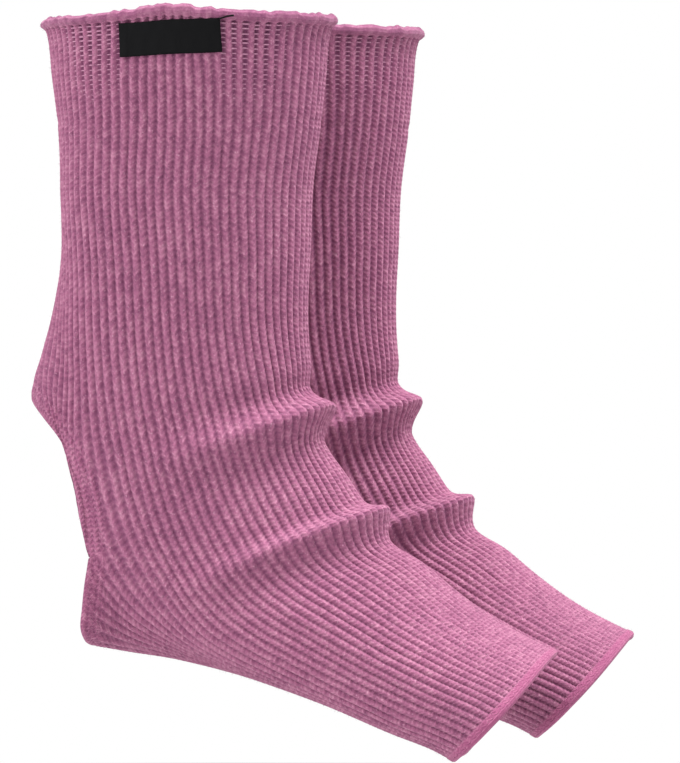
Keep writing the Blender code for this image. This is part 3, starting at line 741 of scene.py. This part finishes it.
# %% The closed wall of one tube, ready for its stitches
def wall(name, tube, sock, seed):
    """The tube's wall as one closed grid: down the outside, round the edge, up the inside and round again."""
    courses = round(END[tube] / COURSE)
    course, turn, depth = wall_rows(tube, courses)
    drift = wandering(2 * courses + 1, seed)[np.rint(2 * course).astype(int)]
    share, lanes, pitch = knit_columns(tube, course * END[tube] / courses, drift)
    folded = np.minimum(share % 1.0, 1 - share % 1.0)
    at = places_along(tube, courses, course, turn, depth, folded)
    away, along = edge_places(tube, cloth(tube, at, share)[0], folded)
    points, normal = folded_cloth(tube, at, share, raised(tube, at, away, folded, turn, depth, seed))
    if tube == "leg":
        points[..., 1] += lumps(seed + WAVE_SEED) * within(at, *RIM_WAVE)
    rows, columns = at.shape
    grid = np.arange(rows * columns).reshape(rows, columns)
    right, below = np.roll(grid, -1, axis=1), np.roll(grid, -1, axis=0)
    faces = np.stack([grid, right, np.roll(right, -1, axis=0), below], axis=-1).reshape(-1, 4)
    thing = place(name, to_world(points, sock).reshape(-1, 3), faces.tolist())
    numbers = {
        "rise": np.tile(RISE, rows * RIBS),
        "valley": np.tile(IN_VALLEY, rows * RIBS),
        "course": np.repeat(np.where(turn == 0, course, 0.0), columns),
        "plain": plain_share(tube, at, away, folded),
        "relief": np.repeat(1 - INSIDE_WEAKER * depth, columns),
        "open": open_share(tube, at, share, pitch, sock),
        "band": pink_share(tube, at, away),
        # The rolled rim gets painted shade.
        "rim": within(at, *RIM_SHADE_REACH) * (tube == "leg"),
    }
    for attribute, values in numbers.items():
        write(thing.data, attribute, "FLOAT", values)
    write(thing.data, "out", "FLOAT_VECTOR", to_world(normal, 0) / MM)
    # Beside the heel opening: columns from the edge, courses round it, and how far the knit has turned.
    beside = np.stack([away / EDGE_COLUMN, along / COURSE, within(away, *EDGE_BAND)], axis=-1)
    write(thing.data, "beside", "FLOAT_VECTOR", beside)
    ribs = np.repeat(np.arange(RIBS), 6)[None, :]
    map_stitches(thing.data, ribs + lanes, np.where(turn <= 0.5, course + 4 * turn, 2 * courses + 8 - course))
    # The two tubes meet over the instep in a sharp edge, outside and inside.
    first_turns, last_turns = EDGE_TURNS[tube]
    meeting = (2 * courses, 2 * courses + 1 + last_turns) if tube == "leg" else (0, rows - first_turns - 1)
    sharp = np.zeros(rows * columns, bool)
    for row in meeting:
        sharp[grid[row][folded[row] < MEETING]] = True
    mark_sharp(thing.data, sharp, columns)
    return thing


# %% [markdown]
# ## The yarn
# Heathered wool is spun from pale, rose and mauve fibres, then knitted and brushed a little. It has no gloss.
# Fibre ends catch light at grazing angles, so edges look paler, and valleys lie in shade. A picture of wool
# would repeat and blur. Noise on Object coordinates streaks the fibres instead, the stitch map gives each
# stitch its own tone and a painted shade along the line between stitches, and the depth that the stitch tree
# measures paints shade into the valleys and onto the rolled rim.

# %% The yarn: heathered wool
# The deep colour is painted shade, laid into the lines between stitches, the valleys and the rolled rim.
YARN = {"pale": "#B0768F", "rose": "#995B79", "mauve": "#804A66", "deep": "#58264A", "speck": "#C99CAF"}
STRETCHED = {"pale": "#B8869E", "rose": "#A6728D", "mauve": "#8E5C78", "deep": "#58264A", "speck": "#C7A0B2"}
EDGE_PINK = "#9C4A73"
WOOL_FINISH = {
    "Roughness": 0.95,
    "Specular IOR Level": 0.15,
    "Sheen Weight": 0.26,
    "Sheen Roughness": 0.6,
    "Sheen Tint": linear("#DDB4C8"),
}
# Each noise has a number of patches to a metre and a detail. The peaks of one are pale specks a third of a
# millimetre across: pale fibres with a painted highlight on their fuzz. Then comes how much each counts in a
# stitch's tone.
NOISES = {"streak": (700.0, 3.0), "dye": (34.0, 1.0), "speck": (1600.0, 2.0), "fuzz": (2000.0, 4.0)}
OWN_TONE, STREAK_TONE, DYE_TONE, TONE_DOWN = 0.34, 0.90, 0.30, 0.10
# The lean and depth of the turned knit's Vs, the depth of its columns, and how much shade is painted into the
# lines and how deep they are.
TURNED_LEAN, TURNED_DEPTH, COLUMN_DEPTH = 1.2, 0.8, 4.0
LINE_PAINTED_SHADE, LINE_PAINTED_SHADE_TURNED, LINE_DEEP, LINE_DEEP_TURNED = 0.21, 1.5, 0.36, 0.5
LINE_RANGE, SPECK_PEAKS, SPECK_SHARE, PINK_SHARE = (-0.1, -0.95), (0.60, 0.72), 0.5, 0.5
TONE_STOPS = {"mauve": 0.18, "pale": 0.82, "rose": 0.50}


# %% The lines between the stitches
def knit_lines(tree, stitch):
    """The lines between stitches, from 1 on the yarn to -1 between, and how far the knit has turned."""
    parts = add(tree, SPLIT, inputs=[stitch]).node
    groove = add(tree, MATHS, TIMES, [parts.outputs[1], 2 * math.pi])
    groove = add(tree, MATHS, COSINE, [groove])
    # Beside the heel opening the knit turns: its columns and their Vs run along the edge.
    beside = add(tree, ATTRIBUTE, {"attribute_name": "beside"}, output=1)
    beside = add(tree, SPLIT, inputs=[beside]).node.outputs
    lane = add(tree, MATHS, {"operation": "PINGPONG"}, [beside[0], 0.5])
    arms = add(tree, MATHS, TIMES_PLUS, [lane, TURNED_LEAN, beside[1]])
    arms = add(tree, MATHS, TIMES, [arms, 2 * math.pi])
    arms = add(tree, MATHS, COSINE, [arms])
    trough = add(tree, MATHS, TIMES_PLUS, [lane, COLUMN_DEPTH, -1.0])
    turned = add(tree, MATHS, TIMES_PLUS, [arms, TURNED_DEPTH, trough])
    return add(tree, MIX, NUMBERS, {0: beside[2], 2: groove, 3: turned}), beside[2]


# %% The wool's colour and relief
def wool(name, yarn):
    """Heathered wool yarn in the five colours given."""
    material, tree, shader = new_material(name, WOOL_FINISH)
    stitch = add(tree, "ShaderNodeUVMap", {"uv_map": "stitches"})
    where = add(tree, "ShaderNodeTexCoord", output=3)
    arm = add(tree, VECTORS, TIMES, [stitch, (2.0, 1.0, 1.0)])
    cell = add(tree, VECTORS, {"operation": "FLOOR"}, [arm])
    own = add(tree, "ShaderNodeTexWhiteNoise", {"noise_dimensions": "2D"}, {"Vector": cell})
    noise = {
        kind: add(tree, NOISE, inputs={"Vector": where, "Scale": patches, "Detail": detail})
        for kind, (patches, detail) in NOISES.items()
    }
    mixed = -OWN_TONE / 2
    for pattern, share in ((own, OWN_TONE), (noise["streak"], STREAK_TONE), (noise["dye"], DYE_TONE)):
        mixed = add(tree, MATHS, TIMES_PLUS, [pattern, share, mixed])
    mixed = add(tree, MATHS, MINUS, [mixed, TONE_DOWN])
    colour = add(tree, "ShaderNodeValToRGB", inputs=[mixed])
    stops = colour.node.color_ramp.elements
    stops.new(TONE_STOPS["rose"]).color = linear(yarn["rose"])
    for stop, tone in ((stops[0], "mauve"), (stops[2], "pale")):
        stop.position, stop.color = TONE_STOPS[tone], linear(yarn[tone])
    # Pale specks of fibre, with a painted highlight on the fuzz.
    speck = add(tree, RANGE, inputs=[noise["speck"], *SPECK_PEAKS, 0.0, SPECK_SHARE])
    # The line between one stitch and the next lies deeper, and shade is painted into it.
    groove, has_turned = knit_lines(tree, stitch)
    line = add(tree, RANGE, inputs=[groove, *LINE_RANGE, 0.0, LINE_PAINTED_SHADE])
    more = add(tree, MATHS, TIMES_PLUS, [has_turned, LINE_PAINTED_SHADE_TURNED, 1.0])
    line = add(tree, MATHS, TIMES, [line, more])
    # The plain knit of the edges shows its own, pinker side, and painted shade darkens the valleys and the
    # rolled rim.
    band = add(tree, ATTRIBUTE, {"attribute_name": "band"}, output=2)
    band = add(tree, MATHS, TIMES, [band, PINK_SHARE])
    painted_shade_amount = add(tree, ATTRIBUTE, {"attribute_name": "painted_shade"}, output=2)
    tints = (speck, yarn["speck"]), (line, yarn["deep"]), (band, EDGE_PINK), (painted_shade_amount, yarn["deep"])
    for share, tint in tints:
        colour = add(tree, MIX, COLOURS, {0: share, 6: colour, 7: linear(tint)}, 2)
    tree.links.new(colour, shader.inputs["Base Color"])
    # The same lines in relief, with loose fibres that blur them.
    deep = add(tree, MATHS, TIMES_PLUS, [has_turned, LINE_DEEP_TURNED, LINE_DEEP])
    relief = add(tree, MATHS, TIMES_PLUS, [groove, deep, noise["fuzz"]])
    bump = add(tree, "ShaderNodeBump", inputs={"Strength": 0.7, "Distance": 0.35 * MM, "Height": relief})
    tree.links.new(bump, shader.inputs["Normal"])
    print(name, "has", len(tree.nodes), "nodes")
    return material


heathered_wool = wool("heathered_wool_yarn", YARN)
stretched_wool = wool("stretched_wool_yarn", STRETCHED)

# %% [markdown]
# ## Stitches by Geometry Nodes
# The stitches repeat thousands of times by one rule, which is what Geometry Nodes are for. The tree reads
# where each point lies across its rib and along the tube, and moves it out along the cloth's own direction: a
# rounded rib, two arms of yarn with a groove between, a dip between one stitch and the next, and a deep
# valley with a bar of purl in it. It also writes a painted shade for each point, darker the lower it lies and
# on the rolled rim, which the yarn's colour reads.

# %% The stitch tree
STITCH_SIZES = {
    "Rib height": 0.95,
    "Stitch dip": 0.025,
    "Purl bar": 0.07,
    "Gap": 0.14,
    "Open depth": 0.55,
    "Edge height": 0.55,
    "Edge bar": 0.12,
}
# Painted shade darkens a point from the first height to the second, up to a share, and the rolled rim by its
# own share.
PAINTED_SHADE_FROM, PAINTED_SHADE_TO, PAINTED_SHADE_MOST, RIM_SHADE = 0.50, -0.42, 0.72, 0.36


def stitch_tree(material):
    """Moves the points of a plain wall out into ribs, stitches and valleys."""
    tree, given = new_tree("rib_knit_stitches", STITCH_SIZES)
    names = ("rise", "valley", "course", "plain", "relief", "open", "rim")
    named = {name: add(tree, NAMED, NUMBERS, {"Name": name}) for name in names}
    phase = add(tree, MATHS, TIMES, [named["course"], 2 * math.pi])
    wave = add(tree, MATHS, COSINE, [phase])
    # On the rib a stitch is a low swell. In the valley it is a bar of purl with a gap above it.
    rib = add(tree, MATHS, TIMES, [named["rise"], given["Rib height"]])
    rib = add(tree, MATHS, TIMES_PLUS, [wave, given["Stitch dip"], rib])
    bar = add(tree, MATHS, TIMES, [wave, given["Purl bar"]])
    bar = add(tree, MATHS, MINUS, [bar, given["Gap"]])
    closed = add(tree, MATHS, MINUS, [1.0, named["open"]])
    bar = add(tree, MATHS, TIMES, [bar, closed])
    deep = add(tree, MATHS, TIMES, [named["open"], given["Open depth"]])
    bar = add(tree, MATHS, MINUS, [bar, deep])
    rib = add(tree, MATHS, TIMES_PLUS, [bar, named["valley"], rib])
    edge = add(tree, MATHS, TIMES_PLUS, [wave, given["Edge bar"], given["Edge height"]])
    height = add(tree, MIX, NUMBERS, {0: named["plain"], 2: rib, 3: edge})
    direction = add(tree, NAMED, ARROWS, {"Name": "out"})
    far = add(tree, MATHS, TIMES, [height, named["relief"]])
    far = add(tree, MATHS, TIMES, [far, MM])
    move = add(tree, VECTORS, {"operation": "SCALE"}, {0: direction, "Scale": far})
    knitted = add(tree, "GeometryNodeSetPosition", inputs={"Geometry": given["Geometry"], "Offset": move})
    # Painted shade: the lower a point lies, the darker it is painted, and the rolled rim darker still.
    painted_shade = add(tree, RANGE, inputs=[height, PAINTED_SHADE_FROM, PAINTED_SHADE_TO, 0.0, PAINTED_SHADE_MOST])
    painted_shade = add(tree, MATHS, TIMES_PLUS, [named["rim"], RIM_SHADE, painted_shade])
    stored = {"Geometry": knitted, "Name": "painted_shade", "Value": painted_shade}
    marked = add(tree, "GeometryNodeStoreNamedAttribute", {**NUMBERS, "domain": "POINT"}, stored)
    finish_tree(tree, marked, material)
    return tree


# %% Knit the four tubes
SEEDS = {"leg": 11, "foot": 12}
STITCHES = stitch_tree(heathered_wool)
TUBES = {}
for sock, side in enumerate(("near", "far")):
    for tube, seed in SEEDS.items():
        thing = wall(f"{side}_{tube}_knit", tube, sock, seed + 10 * sock)
        TUBES[side, tube] = make_with(thing, STITCHES, STITCH_SIZES)

# %% [markdown]
# ## Ladders in the cuff
# Beside the label the wide cuff pulls the knit apart, and the purl yarn shows as the rungs of a ladder
# between two ribs. The points where rungs lie come from the same columns as the knit. The tree bends one
# short bar of yarn and sets it at every point, turned along its span and stretched to its length.

# %% Where the rungs lie
# The courses with rungs, how open the knit is there at least, the height of the rungs' ends, and then their
# height and girth, which grow as the knit opens, and how much each of them varies.
RUNG_COURSES, RUNG_OPEN, RUNG_END_HEIGHT = np.arange(2, 26), 0.10, 0.34
RUNG_LIFT, RUNG_LOW, RUNG_LIFT_VARIES, RUNG_SLIP = 0.42, 0.30, 0.08, 0.2
RUNG_THIN, RUNG_THICKER, RUNG_GIRTH_VARIES, RUNG_SEED = 0.45, 0.55, 0.10, 70


def rung_places(name, sock, seed):
    """Points with the span from rib to rib and the cloth's own direction, where the cuff is open."""
    courses = round(LEG_END / COURSE)
    at = (RUNG_COURSES * LEG_END / courses)[:, None]
    share, _, pitch = knit_columns("leg", at[:, 0], wandering(2 * courses + 1, seed)[2 * RUNG_COURSES])
    ribs = share.reshape(len(at), RIBS, 6)
    following = np.roll(ribs[:, :, 2], -1, axis=1)
    following[:, -1] += 1.0
    left, _ = folded_cloth("leg", at, ribs[:, :, 4], RUNG_END_HEIGHT)
    right, _ = folded_cloth("leg", at, following, RUNG_END_HEIGHT)
    between = (ribs[:, :, 4] + following) / 2
    how_open = open_share("leg", at, between, pitch.reshape(ribs.shape)[:, :, 0], sock)
    rng = np.random.default_rng(seed + RUNG_SEED)
    lift = RUNG_LIFT * how_open - RUNG_LOW + rng.uniform(-RUNG_LIFT_VARIES, RUNG_LIFT_VARIES, between.shape)
    slipped = at + rng.uniform(-RUNG_SLIP, RUNG_SLIP, between.shape)
    middle, normal = folded_cloth("leg", slipped, between, lift)
    girth = RUNG_THIN + RUNG_THICKER * how_open
    girth = girth + rng.uniform(-RUNG_GIRTH_VARIES, RUNG_GIRTH_VARIES, between.shape)
    pulled = how_open > RUNG_OPEN
    thing = place(name, to_world(middle[pulled], sock), [])
    write(thing.data, "girth", "FLOAT", girth[pulled])
    write(thing.data, "span", "FLOAT_VECTOR", to_world((right - left)[pulled], 0))
    write(thing.data, "out", "FLOAT_VECTOR", to_world(normal[pulled], 0) / MM)
    return thing


# %% The rung tree
RUNG_SIZES = {"Yarn radius": 0.36 * MM, "Bow": 0.25 * MM}
RUNG_BENDS, RUNG_SIDES = 4, 5


def rung_tree(material):
    """A short bent bar of yarn on every point, along its span."""
    tree, given = new_tree("cuff_rungs", RUNG_SIZES)
    span, out = (add(tree, NAMED, ARROWS, {"Name": name}) for name in ("span", "out"))
    girth = add(tree, NAMED, NUMBERS, {"Name": "girth"})
    bow = add(tree, JOIN, inputs={2: given["Bow"]})
    bend = {"Resolution": RUNG_BENDS, "Start": (-0.5, 0.0, 0.0), "Middle": bow, "End": (0.5, 0.0, 0.0)}
    line = add(tree, "GeometryNodeCurveQuadraticBezier", inputs=bend)
    round_yarn = {"Resolution": RUNG_SIDES, "Radius": given["Yarn radius"]}
    ring = add(tree, "GeometryNodeCurvePrimitiveCircle", inputs=round_yarn)
    bar = add(tree, "GeometryNodeCurveToMesh", inputs=[line, ring])
    bar = add(tree, "GeometryNodeSetShadeSmooth", inputs=[bar])
    axes = {"primary_axis": "X", "secondary_axis": "Z"}
    turn = add(tree, "FunctionNodeAxesToRotation", axes, [span, out])
    length = add(tree, VECTORS, {"operation": "LENGTH"}, [span], 1)
    scale = add(tree, JOIN, inputs=[length, girth, girth])
    every = {"Points": given["Geometry"], "Instance": bar, "Rotation": turn, "Scale": scale}
    finish_tree(tree, add(tree, ON_POINTS, inputs=every), material)
    return tree


RUNGS = rung_tree(stretched_wool)
LADDERS = {}
for sock, side in enumerate(("near", "far")):
    thing = rung_places(f"{side}_cuff_rungs", sock, SEEDS["leg"] + 10 * sock)
    LADDERS[side] = make_with(thing, RUNGS, RUNG_SIZES)

# %% [markdown]
# ## Loose fibres
# Wool is never clean at its edges: fibre ends stand out of the yarn and catch the light. Hair curves would be
# lost in the export, so the tree scatters thin cones over the outside of the finished knit, each a point that
# leans its own way.

# %% The fibre tree
FIBRE_SIZES = {
    "Fibres per square metre": 230000.0,
    "Length": 1.1 * MM,
    "Radius": 0.028 * MM,
    "Lean": 1.25,
    "Seed": 4.0,
}
# Only the outside has this much relief. A fibre has three sides, and its length varies between two shares.
OUTSIDE_RELIEF, FIBRE_TURN, FIBRE_SIDES, FIBRE_SHORT, FIBRE_LONG = 0.95, 3.1, 3, 0.6, 1.5


def fibre_tree(material):
    """Thin fibre ends on the outside of the knit."""
    tree, given = new_tree("loose_fibres", FIBRE_SIZES)
    outside = add(tree, NAMED, NUMBERS, {"Name": "relief"})
    outside = add(tree, MATHS, {"operation": "GREATER_THAN"}, [outside, OUTSIDE_RELIEF])
    seed = add(tree, "FunctionNodeFloatToInt", inputs=[given["Seed"]])
    scattered = {"Mesh": given["Geometry"], "Selection": outside, "Density": given["Fibres per square metre"]}
    spread = add(tree, "GeometryNodeDistributePointsOnFaces", inputs={**scattered, "Seed": seed})
    pointed = {"Vertices": FIBRE_SIDES, "Radius Top": 0.0}
    pointed.update({"Radius Bottom": given["Radius"], "Depth": given["Length"]})
    cone = add(tree, "GeometryNodeMeshCone", {"fill_type": "NONE"}, pointed)
    back = add(tree, MATHS, TIMES, [given["Lean"], -1.0])
    low = add(tree, JOIN, inputs=[back, back, -FIBRE_TURN])
    high = add(tree, JOIN, inputs=[given["Lean"], given["Lean"], FIBRE_TURN])
    lean = add(tree, "FunctionNodeRandomValue", ARROWS, {0: low, 1: high, "Seed": seed})
    lean = add(tree, "FunctionNodeEulerToRotation", inputs=[lean])
    upright = spread.node.outputs["Rotation"]
    turn = add(tree, "FunctionNodeRotateRotation", {"rotation_space": "LOCAL"}, [upright, lean])
    size = add(tree, "FunctionNodeRandomValue", NUMBERS, {2: FIBRE_SHORT, 3: FIBRE_LONG, "Seed": seed}, 1)
    scale = add(tree, JOIN, inputs=[1.0, 1.0, size])
    every = {"Points": spread, "Instance": cone, "Rotation": turn, "Scale": scale}
    finish_tree(tree, add(tree, ON_POINTS, inputs=every), material)
    return tree


FIBRES = fibre_tree(stretched_wool)
FUZZ = {}
for (side, tube), knit in TUBES.items():
    thing = bpy.data.objects.new(f"{side}_{tube}_fibres", knit.data.copy())
    bpy.context.scene.collection.objects.link(thing)
    FUZZ[side, tube] = make_with(thing, FIBRES, FIBRE_SIZES)

# %% [markdown]
# ## The label
# A ribbon woven in black satin is folded under at both ends and sewn onto the cuff. Cloth simulation would
# drape a loose ribbon, but this one is held all round by its seam and lies on the ribs, so it is made from
# the cuff's own points moved out. Its ends are a little thicker where they are folded.

# %% The ribbon: black woven satin
# Satin has long floats of fine thread, which give it a low sheen. Real threads are 0.1 to 0.2 mm apart. These
# are drawn coarser, in millimetres across and down, so that they show.
WARP, WEFT = 0.4, 0.5
SATIN_DARK, SATIN_PALE = "#060607", "#131315"


def ribbon_material():
    """Black satin ribbon with its weave in colour and relief."""
    finish = {"Roughness": 0.7, "Specular IOR Level": 0.08}
    material, tree, shader = new_material("black_satin_ribbon", finish)
    cloth_map = add(tree, "ShaderNodeUVMap", {"uv_map": "weave"})
    parts = add(tree, SPLIT, inputs=[cloth_map]).node
    warp, weft = (
        add(tree, MATHS, SINE, [add(tree, MATHS, TIMES, [parts.outputs[k], 2 * math.pi / thread])])
        for k, thread in enumerate((WARP, WEFT))
    )
    weave = add(tree, MATHS, TIMES, [warp, weft])
    tone = add(tree, RANGE, inputs=[weave, -1.0, 1.0])
    colour = add(tree, MIX, COLOURS, {0: tone, 6: linear(SATIN_DARK), 7: linear(SATIN_PALE)}, 2)
    tree.links.new(colour, shader.inputs["Base Color"])
    bump = add(tree, "ShaderNodeBump", inputs={"Strength": 0.5, "Distance": 0.1 * MM, "Height": weave})
    tree.links.new(bump, shader.inputs["Normal"])
    return material


satin = ribbon_material()

# %% Sizes of the ribbon
# How far down its two long edges lie, at its middle and at its ends, since the cuff under it is round. Then
# its length, how far one end lies lower than the other, and how far its short ends lean.
LABEL_UPPER, LABEL_LOWER = (5.4, 4.0), (16.6, 16.1)
LABEL_ROUND, LABEL_TILT, LABEL_LEAN = 36.6, 1.6, 0.05
LABEL_COLUMNS, LABEL_ROWS, LABEL_STEPS, LABEL_SEARCH = 75, 27, 401, 0.1
# The height of its back and front over the cloth, its rounded rim, and its folded ends.
BACK_HEIGHT, FRONT_HEIGHT, RIM_HEIGHT, RIM_ROUND = 1.15, 1.45, 0.30, 0.5
FOLD_LONG, FOLD_SOFT, FOLD_HEIGHT = 3.6, 0.8, 0.14
RIPPLE, RIPPLE_ROUND, RIPPLE_DOWN = 0.10, 1.1, 0.35
# The end of the sewing thread stands out of the upper corner towards the shin.
THREAD_END, THREAD_BOW, THREAD_RADIUS = (5.8, 1.2, 0.4), (0.1, 0.3, 0.2), 0.36
THREAD_STEPS, THREAD_SIDES, THREAD_ARCH = 8, 6, 3.0


# %% The ribbon's shape
def ribbon_sheet():
    """The points of the front and back, each point's place on the cloth, and the faces all round."""
    nearby = LABEL_AT + np.linspace(-LABEL_SEARCH, LABEL_SEARCH, LABEL_STEPS)
    length = running(cloth("leg", np.full(LABEL_STEPS, LABEL_UPPER[0]), nearby)[0])
    length = length - length[-1] / 2
    wide = np.linspace(-0.5, 0.5, LABEL_COLUMNS) * LABEL_ROUND
    t = np.linspace(0, 1, LABEL_ROWS)[:, None]
    middle, ends = (u + (v - u) * t for u, v in zip(LABEL_UPPER, LABEL_LOWER))
    down = ends + (middle - ends) * (1 - (2 * wide / LABEL_ROUND) ** 2) + LABEL_TILT * wide / LABEL_ROUND
    tall = (t * (LABEL_LOWER[1] - LABEL_UPPER[1]))[:, 0]
    share = np.interp(wide[None, :] - LABEL_LEAN * (down - LABEL_UPPER[0]), length, nearby)
    end_fold = beyond(np.abs(wide), LABEL_ROUND / 2 - FOLD_LONG, FOLD_SOFT)[None, :]
    to_end, to_side = LABEL_ROUND / 2 - np.abs(wide)[None, :], np.minimum(tall, tall[-1] - tall)[:, None]
    rim = eased(np.minimum(to_end, to_side) / RIM_ROUND)
    ripple = RIPPLE * np.sin(wide * RIPPLE_ROUND)[None, :] * np.cos(tall * RIPPLE_DOWN)[:, None]
    height = FRONT_HEIGHT + RIM_HEIGHT * rim + FOLD_HEIGHT * end_fold + ripple
    front, _ = folded_cloth("leg", down, share, height)
    back, _ = folded_cloth("leg", down, share, BACK_HEIGHT + 0 * rim)
    count = LABEL_ROWS * LABEL_COLUMNS
    a = np.arange(count).reshape(LABEL_ROWS, LABEL_COLUMNS)
    faces = np.stack([a[:-1, :-1], a[:-1, 1:], a[1:, 1:], a[1:, :-1]], axis=-1).reshape(-1, 4)
    loop = np.concatenate([a[0, :-1], a[:-1, -1], a[-1, :0:-1], a[:0:-1, 0]])
    following = np.roll(loop, -1)
    band = np.stack([following, loop, loop + count, following + count], axis=-1)
    flat = np.stack(np.broadcast_arrays(wide[None, :], tall[:, None]), axis=-1).reshape(-1, 2)
    return front, back, np.tile(flat, (2, 1)), np.concatenate([faces, faces[:, ::-1] + count, band]).tolist()


# %% The thread's end and the whole ribbon
def thread_end(corner, count):
    """The tube of the thread's loose end, whose points are numbered from `count`."""
    along = np.linspace(0, 1, THREAD_STEPS)
    arch = np.sin(np.linspace(0, THREAD_ARCH, THREAD_STEPS))
    line = corner + np.outer(along, THREAD_END) + np.outer(arch, THREAD_BOW)
    ring = np.linspace(0, 2 * math.pi, THREAD_SIDES, endpoint=False)
    ring = np.stack([0 * ring, np.cos(ring), np.sin(ring)], axis=-1) * THREAD_RADIUS
    a = count + np.arange(THREAD_STEPS * THREAD_SIDES).reshape(THREAD_STEPS, THREAD_SIDES)
    b = np.roll(a, -1, axis=1)
    sides = np.stack([a[:-1], a[1:], b[1:], b[:-1]], axis=-1).reshape(-1, 4)
    return (line[:, None] + ring[None]).reshape(-1, 3), sides.tolist() + [a[0].tolist(), a[-1, ::-1].tolist()]


def ribbon(name, sock):
    """The ribbon on the cuff, closed all round, with the end of its thread."""
    front, back, flat, faces = ribbon_sheet()
    corner = front[1, 1 if front[0, 0, 0] > front[0, -1, 0] else -2]
    thread, thread_faces = thread_end(corner, len(flat))
    points = np.concatenate([front.reshape(-1, 3), back.reshape(-1, 3), thread])
    flat = np.concatenate([flat, np.zeros((len(thread), 2))])
    thing = place(name, to_world(points, sock), faces + thread_faces, satin)
    layer = thing.data.uv_layers.new(name="weave")
    corners = np.empty(len(thing.data.loops), np.int32)
    thing.data.loops.foreach_get("vertex_index", corners)
    layer.data.foreach_set("uv", flat[corners].astype(np.float32).ravel())
    print(name, "has", len(points), "points")
    return thing


near_ribbon = ribbon("near_ribbon", 0)

# %% [markdown]
# ## Everything rides on the part
# The socks are worn and stretched. Each piece rides on the part's root, and the solid that it stands for is
# hidden.

for (side, tube), thing in TUBES.items():
    loose = [FUZZ[side, tube]] + ([LADDERS[side]] if tube == "leg" else [])
    for piece in [thing, *loose]:
        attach(piece, "root")
    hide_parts(f"{side}_{tube}_tube")
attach(near_ribbon, "root")
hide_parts("near_label")
